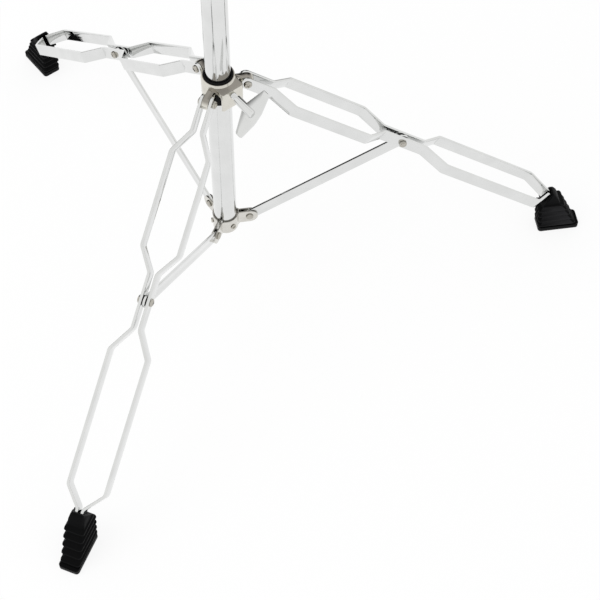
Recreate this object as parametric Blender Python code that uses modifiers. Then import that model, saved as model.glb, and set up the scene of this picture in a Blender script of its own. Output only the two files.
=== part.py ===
"""Cymbal stand with a folding tripod of looped flat bars.

Metres, +Z up. The tripod stands on z = 0, leg b points along -Y, and the origin is
under the middle of the stand's footprint.
"""

import math

import bmesh
import bpy
from mathutils import Matrix, Vector

# Clearances
GAP = 0.0003                    # between pieces that touch
PIN_GAP = 0.0003                # round a pin or screw in its hole

# Tubes, each sliding in the one below
BASE_RADIUS = 0.0127
BASE_WALL = 0.0015
BASE_TAIL = 0.0085              # base tube below the strut pins
BASE_TOP = 0.588
MIDDLE_ROOM = 0.00165           # round the middle tube, in the base tube
MIDDLE_WALL = 0.0012
MIDDLE_BOTTOM = 0.290
MIDDLE_TOP = 0.800
UPPER_ROOM = 0.0020             # round the upper tube, in the middle tube
UPPER_WALL = 0.0010
UPPER_BOTTOM = 0.560
UPPER_TOP = 1.030
TUBE_STEPS = 28

# Tripod linkage, in the upright plane of a leg
LEG_AZIMUTHS = {"a": 30.0, "b": -90.0, "c": 150.0}
PIVOT_HEIGHT = 0.308            # collar pivots over the floor
COLLAR_LUG = 0.01125            # from the collar's wall out to its pivots
BAR_TIP_HEIGHT = 0.04695        # outer end of the leg bars over the floor
BRACKET_REACH = 0.0141          # from the base tube out to the strut pins
BRACKET_HEIGHT = 0.0845         # strut pins over the floor
PIN_RADIUS = 0.0025             # pins, screws and bolts of the linkage
HEAD_RADIUS = 0.0042
HEAD_HEIGHT = 0.0022
TAIL_SHOW = 0.0008              # a bolt's end beyond its nut, or a pin's peened edge

# Leg bars: flat bars bent into two loops, measured along the leg from the collar pivot
BAR_WIDTH = 0.0132
BAR_THICKNESS = 0.0030
BAR_START = -0.0080
LOOP_1_START = 0.0305           # the first loop starts to open
OPENING_1 = 0.0242              # length over which it opens
LOOP_1 = 0.0980                 # its two bars run side by side
CLOSING_1 = 0.0235
PIVOT_INSET = 0.0284            # from the first loop to the middle pivot
MIDDLE_RUN = 0.0581             # between the loops
OPENING_2 = 0.0265
LOOP_2 = 0.1427
CLOSING_2 = 0.0205
FOOT_RUN = 0.0180               # from the second loop to the bars' outer end
SPREAD_COLLAR = 0.0052          # from the leg's middle plane to a bar's middle
SPREAD_LOOP_1 = 0.0196
SPREAD_MIDDLE = 0.00405
SPREAD_LOOP_2 = 0.0203
SPREAD_FOOT = 0.0030
BEND_RADIUS = 0.0070

# Struts, with a plastic bush in each upper eye
STRUT_WIDTH = 0.0140
STRUT_THICKNESS = 0.0026
BUSH_RADIUS = 0.0032
BUSH_FLANGE = 0.0052
BUSH_BORE = 0.0020

# Bottom bracket plates
PLATE_THICKNESS = 0.0013
EAR_TIP = 0.0092                # from the strut pins out to an ear's tip
EAR_BEARING = math.radians(60)  # from a plate's middle to the legs beside it
EAR_HEIGHT = 0.0180
LOBE_DEPTH = 0.0110             # from the strut pins down to the lobe's edge
LOBE_ANGLE = math.radians(72)   # width of the lobe's lowest part, round the tube
PLATE_BEND = 0.0018
RIVET_RADIUS = 0.0020
RIVET_HEAD_RADIUS = 0.0032
RIVET_CROWN = 0.0015
RIVET_DROP = 0.0025             # rivets below the strut pins
CAP_DEPTH = 0.0140
CAP_FLANGE = 0.0020
CAP_GRIP = 0.0022               # length of the cap that fits the tube's bore
CAP_TAPER = 0.0030
RIVET_TAIL = 0.0008             # thickness of a rivet's head inside the tube

# Collar
COLLAR_WALL = 0.0020
COLLAR_TOP = 0.0129             # over the collar pivots
COLLAR_SHOULDER = 0.0027        # slope round the collar's top
COLLAR_BOTTOM = -0.0130
CAST_RIM = 0.0012               # softened rims of the castings
BOSS_CORNER = 0.0015
LUG_RADIUS = 0.0068
BUSH_WALL = 0.0020
FLANGE_HEIGHT = 0.0010
FLANGE_REACH = 0.0007           # how far a bush's flange covers its collar
WING_AZIMUTH = -30.0            # all three wing screws point this way
BOSS_REACH = 0.0072             # from the collar's wall out to the boss's flat face
BOSS_HALF_WIDTH = 0.0130
BOSS_TOP = 0.0102
SCREW_HEIGHT = 0.0030
WEB_REACH = 0.0174              # the webs from the boss meet the lugs at this radius
BUSH_TAIL = 0.0050              # the collar's bush shows this far below it
ARCH_WIDTH = 0.0075
ARCH_TOP = 0.0060
ARCH_OFFSET = 45.0              # from the boss to the arches on both sides, degrees
ARCH_SHIFT = 0.00275            # from that bearing towards the boss

# Wing screws
SCREW_RADIUS = 0.0030
SCREW_SHOW = 0.0060             # thread showing between boss and hub
HUB_LENGTH = 0.0270
HUB_RADIUS_IN = 0.0046
HUB_RADIUS_OUT = 0.0056
WING_SPAN = 0.0265              # from the screw's axis to a wing's tip
WING_THICKNESS = 0.0024
WING_TURN = math.radians(47)    # how far the wings stand turned from level

# Feet: rubber boots with a level sole
FOOT_HEEL = 0.0162              # sole, inward from the bars' outer end
FOOT_TOE = 0.0322               # and outward
FOOT_HALF_WIDTH = 0.0112
FOOT_CORNER = 0.0035
FOOT_OVER_TIP = 0.0155          # top of the boot over the bars' outer end
NECK_OVERHANG = 0.0050          # inner side of the neck, inward from the sole
FOOT_LEAN = 0.50                # how far the outer side leans in for each unit of height
HEEL_LEAN = 0.13                # and the inner side leans out
SOLE_HEIGHT = 0.0030            # plain band under the ribs
RIB_PITCH = 0.0070
RIB_DEPTH = 0.0022              # how far each rib's lower edge stands out
RIB_COUNT = 5
BOOT_GRIP = 0.0140              # length of the bars inside the boot

# Height clamps
CLAMP_BELOW = 0.0280            # how far a clamp reaches down its tube
CLAMP_ABOVE = 0.0240            # and over the tube's end
CLAMP_WALL = 0.0040
CLAMP_FACE = 0.0080             # boss face, outward from the clamp's wall
CLAMP_BOSS = 0.0090             # half width and half height of the boss
CLAMP_BUSH_WALL = 0.0016

# Tilter and cymbal seat
TILTER_GRIP = 0.0200
TILTER_WALL = 0.0030
DISC_RADIUS = 0.0120
DISC_WIDTH = 0.0075
DISC_RISE = 0.0210              # tilting axis over the upper tube's end
SOCKET_RADIUS = 0.0078
SOCKET_BOTTOM = 0.0135          # over the tilting axis
SOCKET_TOP = 0.0300
TILTER_RIM = 0.0010             # softened edges of the tilter and the rod
TILTER_COLLAR = 0.0060          # the base reaches this far over the upper tube
BOLT_HEAD = 0.0057              # radius of the tilter bolt's head
BOLT_HEAD_HEIGHT = 0.0040
BOLT_SHOW = 0.0020              # thread beyond the wing nut
ROD_RADIUS = 0.0040
ROD_START = 0.0180
ROD_TOP = 0.1080
CUP_RADIUS = 0.0190
CUP_HEIGHT = 0.0060
CUP_SHEET = 0.0016
FELT_RADIUS = 0.0195
FELT_HEIGHT = 0.0120
FELT_EDGE = 0.0015
SLEEVE_WALL = 0.0014
SLEEVE_SINK = 0.0010            # the sleeve ends this far below the felts' top
NUT_RADIUS = 0.0070
NUT_HEIGHT = 0.0130
NUT_SPAN = 0.0200

# Worked out from the sizes above
LEVEL = Matrix.Identity(4)
MIDDLE_RADIUS = BASE_RADIUS - BASE_WALL - MIDDLE_ROOM
UPPER_RADIUS = MIDDLE_RADIUS - MIDDLE_WALL - UPPER_ROOM
BASE_BOTTOM = BRACKET_HEIGHT - BASE_TAIL
BRACKET_PIVOT = BASE_RADIUS + BRACKET_REACH                  # from the tube's axis
COLLAR_BORE = BASE_RADIUS + GAP + BUSH_WALL + GAP
COLLAR_RADIUS = COLLAR_BORE + COLLAR_WALL
COLLAR_PIVOT = COLLAR_RADIUS + COLLAR_LUG                    # from the tube's axis
BOSS_FACE = COLLAR_RADIUS + BOSS_REACH
LOOP_1_OPEN = LOOP_1_START + OPENING_1
LOOP_1_CLOSE = LOOP_1_OPEN + LOOP_1
LOOP_1_END = LOOP_1_CLOSE + CLOSING_1
MIDDLE_PIVOT = LOOP_1_END + PIVOT_INSET
LOOP_2_START = LOOP_1_END + MIDDLE_RUN
LOOP_2_OPEN = LOOP_2_START + OPENING_2
LOOP_2_CLOSE = LOOP_2_OPEN + LOOP_2
LOOP_2_END = LOOP_2_CLOSE + CLOSING_2
BAR_END = LOOP_2_END + FOOT_RUN
LEG_SLOPE = math.asin((PIVOT_HEIGHT - BAR_TIP_HEIGHT) / BAR_END)         # below level
BAR_TIP = COLLAR_PIVOT + BAR_END * math.cos(LEG_SLOPE)       # from the tube's axis
BOOT_MOUTH = BAR_END - BOOT_GRIP
FOOT_IN = BAR_TIP - FOOT_HEEL
FOOT_OUT = BAR_TIP + FOOT_TOE
FOOT_HEIGHT = BAR_TIP_HEIGHT + FOOT_OVER_TIP
EAR_REACH = BRACKET_PIVOT + EAR_TIP
MIDDLE_POINT = Vector((COLLAR_PIVOT + MIDDLE_PIVOT * math.cos(LEG_SLOPE),
                       PIVOT_HEIGHT - MIDDLE_PIVOT * math.sin(LEG_SLOPE)))
STRUT_RUN = MIDDLE_POINT - Vector((BRACKET_PIVOT, BRACKET_HEIGHT))
STRUT_LENGTH = STRUT_RUN.length
STRUT_SLOPE = math.atan2(STRUT_RUN.y, STRUT_RUN.x)
BACK_REACH = ((FOOT_OUT - FOOT_CORNER) * math.sin(math.radians(30)) + FOOT_CORNER
              + (FOOT_HALF_WIDTH - FOOT_CORNER) * math.cos(math.radians(30)))
AXIS_Y = (FOOT_OUT - BACK_REACH) / 2         # the tube's axis, from the footprint's middle


for old in list(bpy.data.objects):
    bpy.data.objects.remove(old, do_unlink=True)

stand = bpy.data.collections.new("cymbal_stand")
cutters = bpy.data.collections.new("cutters")
bpy.context.scene.collection.children.link(stand)
bpy.context.scene.collection.children.link(cutters)


def make_material(name, colour, roughness, metallic):
    """Principled material in one plain finish."""
    material = bpy.data.materials.new(name)
    material.use_nodes = True
    shader = material.node_tree.nodes["Principled BSDF"]
    shader.inputs["Base Color"].default_value = (*colour, 1.0)
    shader.inputs["Roughness"].default_value = roughness
    shader.inputs["Metallic"].default_value = metallic
    return material


CHROME = make_material("chrome", (0.80, 0.81, 0.82), 0.08, 1.0)
NICKEL = make_material("nickel", (0.66, 0.63, 0.58), 0.22, 1.0)
BLACK_PLASTIC = make_material("black_plastic", (0.015, 0.015, 0.016), 0.35, 0.0)
RUBBER = make_material("rubber", (0.012, 0.012, 0.013), 0.55, 0.0)
FELT = make_material("felt", (0.045, 0.045, 0.048), 0.95, 0.0)


def make_frame(name, matrix, parent=None):
    """Empty that carries the pieces of one moving body."""
    empty = bpy.data.objects.new(name, None)
    empty.empty_display_size = 0.02
    empty.parent = parent
    empty.matrix_basis = matrix
    stand.objects.link(empty)
    return empty


def make_object(name, mesh, frame, material):
    """Object in its body's frame, shaded smooth with sharp edges kept."""
    mesh.shade_smooth()
    mesh.set_sharp_from_angle(angle=math.radians(35))
    piece = bpy.data.objects.new(name, mesh)
    piece.parent = frame
    stand.objects.link(piece)
    mesh.materials.append(material)
    return piece


def mesh_from(name, form):
    """Mesh data from a bmesh with its faces turned outward."""
    bmesh.ops.recalc_face_normals(form, faces=form.faces)
    if form.calc_volume(signed=True) < 0:
        bmesh.ops.reverse_faces(form, faces=form.faces)
    mesh = bpy.data.meshes.new(name)
    form.to_mesh(mesh)
    form.free()
    return mesh


def turned(name, profile, frame, material, steps=24, ring=False, turn=LEVEL):
    """Turned piece: profile points are (radius, height), down the outer side."""
    mesh = bpy.data.meshes.new(name)
    points = [(radius, 0, height) for radius, height in profile]
    edges = [(i, i + 1) for i in range(len(points) - 1)]
    if ring:
        edges.append((len(points) - 1, 0))
    mesh.from_pydata(points, edges, [])
    piece = make_object(name, mesh, frame, material)
    piece.matrix_basis = turn
    screw = piece.modifiers.new("turn", "SCREW")
    screw.steps = steps
    screw.render_steps = steps
    screw.use_merge_vertices = True
    screw.merge_threshold = 0.00002
    return piece


def plate(name, outline, low, high, frame, material, turn=LEVEL):
    """Flat outline in the XY plane, extruded from low to high."""
    curve = bpy.data.curves.new(name, "CURVE")
    curve.dimensions = "2D"
    curve.fill_mode = "BOTH"
    curve.extrude = (high - low) / 2
    spline = curve.splines.new("POLY")
    spline.points.add(len(outline) - 1)
    for point, (x, y) in zip(spline.points, outline):
        point.co = (x, y, 0, 1)
    spline.use_cyclic_u = True
    drawn = bpy.data.objects.new(name, curve)
    stand.objects.link(drawn)
    evaluated = drawn.evaluated_get(bpy.context.evaluated_depsgraph_get())
    form = bmesh.new()
    form.from_mesh(bpy.data.meshes.new_from_object(evaluated))
    bpy.data.objects.remove(drawn, do_unlink=True)
    bpy.data.curves.remove(curve)
    bmesh.ops.remove_doubles(form, verts=form.verts, dist=0.00001)
    form.transform(turn @ Matrix.Translation((0, 0, (low + high) / 2)))
    return make_object(name, mesh_from(name, form), frame, material)


def strip(name, rows, thickness, frame, material):
    """Bent sheet or bar: each row is (x, y, low, high), and Solidify gives the thickness."""
    form = bmesh.new()
    pairs = [(form.verts.new((x, y, low)), form.verts.new((x, y, high)))
             for x, y, low, high in rows]
    for (low_1, high_1), (low_2, high_2) in zip(pairs, pairs[1:]):
        form.faces.new((low_1, low_2, high_2, high_1))
    mesh = bpy.data.meshes.new(name)
    form.to_mesh(mesh)
    form.free()
    piece = make_object(name, mesh, frame, material)
    sheet = piece.modifiers.new("thickness", "SOLIDIFY")
    sheet.thickness = thickness
    sheet.offset = 0
    sheet.use_even_offset = True
    return piece


def cut(piece, tool, operation="DIFFERENCE"):
    """Boolean of a piece with a tool, which is kept among the cutters."""
    boolean = piece.modifiers.new(tool.name, "BOOLEAN")
    boolean.operation = operation
    boolean.solver = "EXACT"
    boolean.object = tool
    if tool.name in stand.objects:
        stand.objects.unlink(tool)
        cutters.objects.link(tool)
        tool.hide_render = True
        tool.display_type = "WIRE"


def along(axis, point=(0, 0, 0)):
    """Matrix that turns +Z onto an axis and moves to a point."""
    turn = Vector((0, 0, 1)).rotation_difference(Vector(axis))
    return Matrix.Translation(point) @ turn.to_matrix().to_4x4()


def drill(name, frame, point, axis, radius, length, steps=12):
    """Cylinder cutter centred on a point."""
    half = length / 2
    profile = [(0, half), (radius, half), (radius, -half), (0, -half)]
    return turned(name, profile, frame, CHROME, steps, turn=along(axis, point))


def filleted(path, radius, steps=2):
    """Path with its inner corners rounded."""
    points = [Vector(path[0])]
    for before, corner, after in zip(path, path[1:], path[2:]):
        corner = Vector(corner)
        back = (Vector(before) - corner).normalized()
        ahead = (Vector(after) - corner).normalized()
        half_angle = back.angle(ahead) / 2
        trim = radius / math.tan(half_angle)
        middle = corner + (back + ahead).normalized() * radius / math.sin(half_angle)
        start = corner + back * trim - middle
        sweep = math.pi - 2 * half_angle
        if start.x * ahead.y - start.y * ahead.x < 0:
            sweep = -sweep
        for step in range(steps + 1):
            angle = sweep * step / steps
            turned_x = start.x * math.cos(angle) - start.y * math.sin(angle)
            turned_y = start.x * math.sin(angle) + start.y * math.cos(angle)
            points.append(middle + Vector((turned_x, turned_y)))
    points.append(Vector(path[-1]))
    return points


def rounded_rows(path, half_width, steps=3):
    """Rows of a bar along a path, with both ends round."""
    rows = []
    for end, inner in ((path[0], path[1]), (path[-1], path[-2])):
        direction = (inner - end).normalized()
        round_rows = []
        for step in range(1, steps + 1):
            angle = math.pi / 2 * step / steps
            point = end + direction * half_width * (1 - math.cos(angle))
            width = half_width * math.sin(angle)
            round_rows.append((point.x, point.y, -width, width))
        rows.append(round_rows)
    middle = [(point.x, point.y, -half_width, half_width) for point in path[1:-1]]
    return rows[0] + middle + rows[1][::-1]


def stadium(start, end, radius, steps=6):
    """Outline of a bar from start to end along X, round at its far end only."""
    points = [(start, -radius)]
    for step in range(steps + 1):
        angle = -math.pi / 2 + math.pi * step / steps
        points.append((end + radius * math.cos(angle), radius * math.sin(angle)))
    points.append((start, radius))
    return points


# Frames of the moving bodies

def upright(azimuth, radius, height):
    """Frame at a radius and height in the upright plane of an azimuth."""
    turn = Matrix.Rotation(math.radians(azimuth), 4, "Z")
    return turn @ Matrix.Translation((radius, 0, height))


base = make_frame("base", Matrix.Translation((0, AXIS_Y, 0)))
collar_frame = make_frame("collar_slide", Matrix.Translation((0, 0, PIVOT_HEIGHT)), base)
middle_frame = make_frame("middle_slide", Matrix.Translation((0, 0, BASE_TOP)), base)
upper_frame = make_frame("upper_slide", Matrix.Translation((0, 0, MIDDLE_TOP - BASE_TOP)),
                         middle_frame)
tilt_height = UPPER_TOP + DISC_RISE
tilt_frame = make_frame("tilt", Matrix.Translation((0, 0, tilt_height - MIDDLE_TOP)), upper_frame)


def tube(name, radius, wall, bottom, top, frame):
    """Plain chromed tube."""
    profile = [(radius, top), (radius, bottom), (radius - wall, bottom), (radius - wall, top)]
    return turned(name, profile, frame, CHROME, TUBE_STEPS, ring=True)


def pin(name, frame, point, half_grip, back_reach, turn_axis=(0, 1, 0)):
    """Round-headed pin or screw: head at +half_grip, tail reaching back_reach behind the middle."""
    face = half_grip + GAP
    crown = face + HEAD_HEIGHT
    profile = [(0, crown), (HEAD_RADIUS * 0.6, crown - HEAD_HEIGHT * 0.2),
               (HEAD_RADIUS, face + HEAD_HEIGHT * 0.3), (HEAD_RADIUS, face), (PIN_RADIUS, face),
               (PIN_RADIUS, -back_reach), (0, -back_reach)]
    return turned(name, profile, frame, CHROME, 12, turn=along(turn_axis, point))


# Base tube with the bottom bracket

base_tube = tube("base_tube", BASE_RADIUS, BASE_WALL, BASE_BOTTOM, BASE_TOP, base)
bore = BASE_RADIUS - BASE_WALL
flat_bore = bore * math.cos(math.pi / TUBE_STEPS)
rivet_seat = math.sqrt(flat_bore ** 2 - RIVET_HEAD_RADIUS ** 2) - GAP
plug = rivet_seat - RIVET_TAIL - GAP
cap_face = BASE_BOTTOM - GAP
cap_profile = [(0, BASE_BOTTOM + CAP_DEPTH), (plug - CAP_TAPER / 2, BASE_BOTTOM + CAP_DEPTH),
               (plug, BASE_BOTTOM + CAP_DEPTH - CAP_TAPER), (plug, BASE_BOTTOM + CAP_GRIP),
               (bore - GAP, BASE_BOTTOM + CAP_GRIP), (bore - GAP, cap_face), (BASE_RADIUS, cap_face),
               (BASE_RADIUS, cap_face - CAP_FLANGE), (0, cap_face - CAP_FLANGE)]
turned("tube_end_cap", cap_profile, base, BLACK_PLASTIC, 20)

plate_radius = BASE_RADIUS + GAP + PLATE_THICKNESS / 2
ear_side = STRUT_THICKNESS / 2 + GAP + PLATE_THICKNESS / 2


def ear_point(side, radius):
    """Point on an ear's middle line, in the frame that points along the plate's middle."""
    direction = Vector((math.cos(EAR_BEARING), side * math.sin(EAR_BEARING)))
    inward = Vector((direction.y, -direction.x)) * side
    return direction * radius + inward * ear_side


def bracket_plate(name, azimuth):
    """Sheet wrapped round the tube between two legs, its ends bent out as ears."""
    frame = make_frame(name + "_frame", upright(azimuth, 0, BRACKET_HEIGHT), base)
    root = math.sqrt(plate_radius ** 2 - ear_side ** 2)
    corner = EAR_BEARING - math.asin(ear_side / plate_radius)
    arc = [(plate_radius * math.cos(a), plate_radius * math.sin(a))
           for a in (corner * (2 * step / 8 - 1) for step in range(9))]
    path = [ear_point(-1, EAR_REACH), ear_point(-1, root)] + arc[1:-1]
    path += [ear_point(1, root), ear_point(1, EAR_REACH)]
    ear_bends = filleted(path[:3], PLATE_BEND)[1:-1]
    half = EAR_HEIGHT / 2
    rows = []
    for step in range(1, 4):
        angle = math.pi / 2 * step / 3
        point = ear_point(-1, EAR_REACH - half * (1 - math.cos(angle)))
        rows.append((point.x, point.y, -half * math.sin(angle), half * math.sin(angle)))
    for point in ear_bends + [Vector(p) for p in arc[1:5]]:
        bearing = abs(math.atan2(point.y, point.x))
        share = min(1, max(0, (corner - bearing) / (corner - LOBE_ANGLE / 2)))
        low = -half - (LOBE_DEPTH - half) * math.sin(share * math.pi / 2)
        rows.append((point.x, point.y, low, half))
    mirrored = [(x, -y, low, high) for x, y, low, high in rows[:-1]]
    piece = strip(name, rows + mirrored[::-1], PLATE_THICKNESS, frame, NICKEL)
    for side in (-1, 1):
        direction = Vector((math.cos(EAR_BEARING), side * math.sin(EAR_BEARING), 0))
        across = (-direction.y, direction.x, 0)
        hole = drill(f"{name}_hole_{side + 1}", frame, direction * BRACKET_PIVOT, across,
                     PIN_RADIUS + PIN_GAP, 2 * ear_side + 2 * PLATE_THICKNESS)
        cut(piece, hole)
    rivet_hole = drill(name + "_rivet_hole", frame, (plate_radius, 0, -RIVET_DROP), (1, 0, 0),
                       RIVET_RADIUS + PIN_GAP, 2 * (plate_radius - plug))
    cut(piece, rivet_hole)
    cut(base_tube, rivet_hole)
    return frame


def bracket_rivet(name, frame):
    """Rivet through a plate and the tube's wall, headed on both sides."""
    outside = plate_radius + PLATE_THICKNESS / 2 + GAP
    tail = rivet_seat - RIVET_TAIL
    profile = [(0, outside + RIVET_CROWN), (RIVET_HEAD_RADIUS * 0.6, outside + RIVET_CROWN * 0.8),
               (RIVET_HEAD_RADIUS, outside), (RIVET_RADIUS, outside), (RIVET_RADIUS, rivet_seat),
               (RIVET_HEAD_RADIUS, rivet_seat), (RIVET_HEAD_RADIUS, tail), (0, tail)]
    turned(name, profile, frame, NICKEL, 12, turn=along((1, 0, 0), (0, 0, -RIVET_DROP)))


for letter, azimuth in (("ab", -30.0), ("ac", 90.0), ("bc", 210.0)):
    bracket_rivet("bracket_rivet_" + letter, bracket_plate("bracket_plate_" + letter, azimuth))


# Collar with its bush, bolts and wing screw

def cast_ring(name, frame, radius, top, bottom, shoulder=CAST_RIM):
    """Solid round casting with softened rims, bored later."""
    profile = [(0, top), (radius - CAST_RIM, top), (radius, top - shoulder), (radius, bottom + CAST_RIM),
               (radius - CAST_RIM, bottom), (0, bottom)]
    return turned(name, profile, frame, NICKEL, 24)


def add_boss(casting, frame, face, half_width, low, high):
    """Boss with a flat face towards the wing screw."""
    direction = math.radians(WING_AZIMUTH)
    shoulder = face - BOSS_CORNER
    outline = [(0, -half_width), (shoulder, -half_width), (face, -half_width + BOSS_CORNER),
               (face, half_width - BOSS_CORNER), (shoulder, half_width), (0, half_width)]
    boss = plate(casting.name + "_boss", outline, low, high, frame, NICKEL,
                 Matrix.Rotation(direction, 4, "Z"))
    cut(casting, boss, "UNION")


def add_webs(casting, frame, face, half_width):
    """Plate that joins the boss's sides to the lugs beside it, down to the lugs' lower edges."""
    lug_bearing = math.radians(LEG_AZIMUTHS["a"] - WING_AZIMUTH)
    root = Vector((WEB_REACH * math.cos(lug_bearing), WEB_REACH * math.sin(lug_bearing)))
    side = face - 2 * BOSS_CORNER
    outline = [(0, 0), (root.x, -root.y), (side, -half_width), (side, half_width), (root.x, root.y)]
    webs = plate(casting.name + "_webs", outline, -LUG_RADIUS, BOSS_TOP, frame, NICKEL,
                 Matrix.Rotation(math.radians(WING_AZIMUTH), 4, "Z"))
    cut(casting, webs, "UNION")


def drill_screw_way(casting, frame, face, height):
    """Hole for the wing screw, from the bore out through the boss."""
    direction = math.radians(WING_AZIMUTH)
    axis = Vector((math.cos(direction), math.sin(direction), 0))
    middle = axis * face
    middle.z = height
    cut(casting, drill(casting.name + "_screw_way", frame, middle, axis, SCREW_RADIUS + PIN_GAP,
                       face * 1.8))


def bush(name, frame, inner, wall, bottom, top):
    """Plastic bush with a flange on the casting's top."""
    outer = inner + wall
    flange = top + GAP
    rim = outer + FLANGE_REACH
    profile = [(rim, flange + FLANGE_HEIGHT), (rim, flange), (outer, flange), (outer, bottom),
               (inner, bottom), (inner, flange + FLANGE_HEIGHT)]
    return turned(name, profile, frame, BLACK_PLASTIC, 20, ring=True)


def wing_outline(start, end, hub, span):
    """Both wings, seen square to their flat, along the screw from start to end."""
    depth = end - start
    wing = [(start, hub), (start + depth * 0.45, span * 0.90), (start + depth * 0.62, span),
            (end - depth * 0.10, span), (end + depth * 0.08, span * 0.93), (end - depth * 0.08, hub)]
    return wing + [(x, -y) for x, y in reversed(wing)]


def wing_screw(name, parent, height, tip, face):
    """Wing screw along the wing azimuth: thread from tip, hub and two wings outside the face."""
    direction = math.radians(WING_AZIMUTH)
    matrix = Matrix.Translation((0, 0, height)) @ Matrix.Rotation(direction, 4, "Z")
    frame = make_frame(name + "_turn", matrix @ Matrix.Translation((tip, 0, 0)), parent)
    hub_start = face + SCREW_SHOW - tip
    hub_end = hub_start + HUB_LENGTH
    profile = [(0, hub_end), (HUB_RADIUS_OUT - 0.0010, hub_end), (HUB_RADIUS_OUT, hub_end - 0.0010),
               (HUB_RADIUS_IN, hub_start), (SCREW_RADIUS, hub_start), (SCREW_RADIUS, 0), (0, 0)]
    piece = turned(name, profile, frame, CHROME, 16, turn=along((1, 0, 0)))
    outline = wing_outline(hub_start + HUB_LENGTH * 0.42, hub_end, HUB_RADIUS_IN / 2, WING_SPAN)
    half = WING_THICKNESS / 2
    wings = plate(name + "_wings", outline, -half, half, frame, CHROME,
                  Matrix.Rotation(WING_TURN, 4, "X"))
    cut(piece, wings, "UNION")


collar = cast_ring("collar", collar_frame, COLLAR_RADIUS, COLLAR_TOP, COLLAR_BOTTOM, COLLAR_SHOULDER)
lug_half = SPREAD_COLLAR - BAR_THICKNESS / 2 - GAP
for letter, azimuth in LEG_AZIMUTHS.items():
    flat_side = Matrix.Rotation(math.radians(azimuth), 4, "Z") @ Matrix.Rotation(math.radians(90), 4, "X")
    lug = plate("collar_lug_" + letter, stadium(0, COLLAR_PIVOT, LUG_RADIUS), -lug_half, lug_half,
                collar_frame, NICKEL, flat_side)
    cut(collar, lug, "UNION")
add_boss(collar, collar_frame, BOSS_FACE, BOSS_HALF_WIDTH, COLLAR_BOTTOM, BOSS_TOP)
add_webs(collar, collar_frame, BOSS_FACE, BOSS_HALF_WIDTH)
collar_height = COLLAR_TOP - COLLAR_BOTTOM
cut(collar, drill("collar_bore", collar_frame, (0, 0, 0), (0, 0, 1), COLLAR_BORE, 3 * collar_height, 24))
drill_screw_way(collar, collar_frame, BOSS_FACE, SCREW_HEIGHT)
for side in (-1, 1):
    bearing = math.radians(WING_AZIMUTH + side * ARCH_OFFSET)
    arch_up = (Matrix.Rotation(bearing, 4, "Z") @ Matrix.Translation((0, -side * ARCH_SHIFT, 0))
               @ Matrix.Rotation(math.radians(-90), 4, "Y"))
    arch_line = stadium(2 * COLLAR_BOTTOM, ARCH_TOP - ARCH_WIDTH / 2, ARCH_WIDTH / 2)
    arch = plate(f"collar_arch_{side + 1}", arch_line, -BOSS_FACE - BOSS_HALF_WIDTH, -COLLAR_BORE * 0.87,
                 collar_frame, NICKEL, arch_up)
    cut(collar, arch)
bush("collar_bush", collar_frame, BASE_RADIUS + GAP, BUSH_WALL, COLLAR_BOTTOM - BUSH_TAIL, COLLAR_TOP)
wing_screw("collar_wing_screw", collar_frame, SCREW_HEIGHT, COLLAR_BORE, BOSS_FACE)


# Legs, struts and feet

def leg_path(side):
    """Middle line of one bar: collar, first loop, middle pivot, second loop, foot."""
    corners = [(BAR_START, SPREAD_COLLAR), (LOOP_1_START, SPREAD_COLLAR), (LOOP_1_OPEN, SPREAD_LOOP_1),
               (LOOP_1_CLOSE, SPREAD_LOOP_1), (LOOP_1_END, SPREAD_MIDDLE), (LOOP_2_START, SPREAD_MIDDLE),
               (LOOP_2_OPEN, SPREAD_LOOP_2), (LOOP_2_CLOSE, SPREAD_LOOP_2), (LOOP_2_END, SPREAD_FOOT),
               (BAR_END, SPREAD_FOOT)]
    return filleted([(x, side * y) for x, y in corners], BEND_RADIUS)


def foot_ring(height, near, far, half_width):
    """Rounded rectangle in plan at one height, as (radius, across, height) points."""
    points = []
    corner = min(FOOT_CORNER, half_width * 0.6)
    plan = ((far, half_width), (near, half_width), (near, -half_width), (far, -half_width))
    for quarter, (x, y) in enumerate(plan):
        centre_x = x - corner if x == far else x + corner
        centre_y = y - corner if y > 0 else y + corner
        for step in range(4):
            angle = math.radians(90 * quarter + 30 * step)
            points.append((centre_x + corner * math.cos(angle), centre_y + corner * math.sin(angle),
                           height))
    return points


def foot_levels():
    """Rings of the boot from the sole up: sawtooth ribs, then the smooth neck."""
    near_top = FOOT_IN - NECK_OVERHANG
    rings = [foot_ring(0, FOOT_IN, FOOT_OUT, FOOT_HALF_WIDTH)]
    for rib in range(RIB_COUNT):
        low = SOLE_HEIGHT + rib * RIB_PITCH
        for height, inset in ((low, 0), (low + RIB_PITCH, RIB_DEPTH)):
            near = max(near_top, FOOT_IN - height * HEEL_LEAN)
            rings.append(foot_ring(height, near + inset, FOOT_OUT - FOOT_LEAN * height - inset,
                                   FOOT_HALF_WIDTH - inset))
    neck = SOLE_HEIGHT + RIB_COUNT * RIB_PITCH
    far = FOOT_OUT - FOOT_LEAN * neck
    neck_length = far - near_top
    for share, lean, width in ((0.0, 0.06, 0.96), (0.45, 0.26, 0.93), (0.72, 0.36, 0.86), (0.90, 0.46, 0.74),
                               (1.0, 0.55, 0.60)):
        height = neck + (FOOT_HEIGHT - neck) * share
        rings.append(foot_ring(height, near_top, far - lean * neck_length, FOOT_HALF_WIDTH * width))
    return rings


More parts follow.
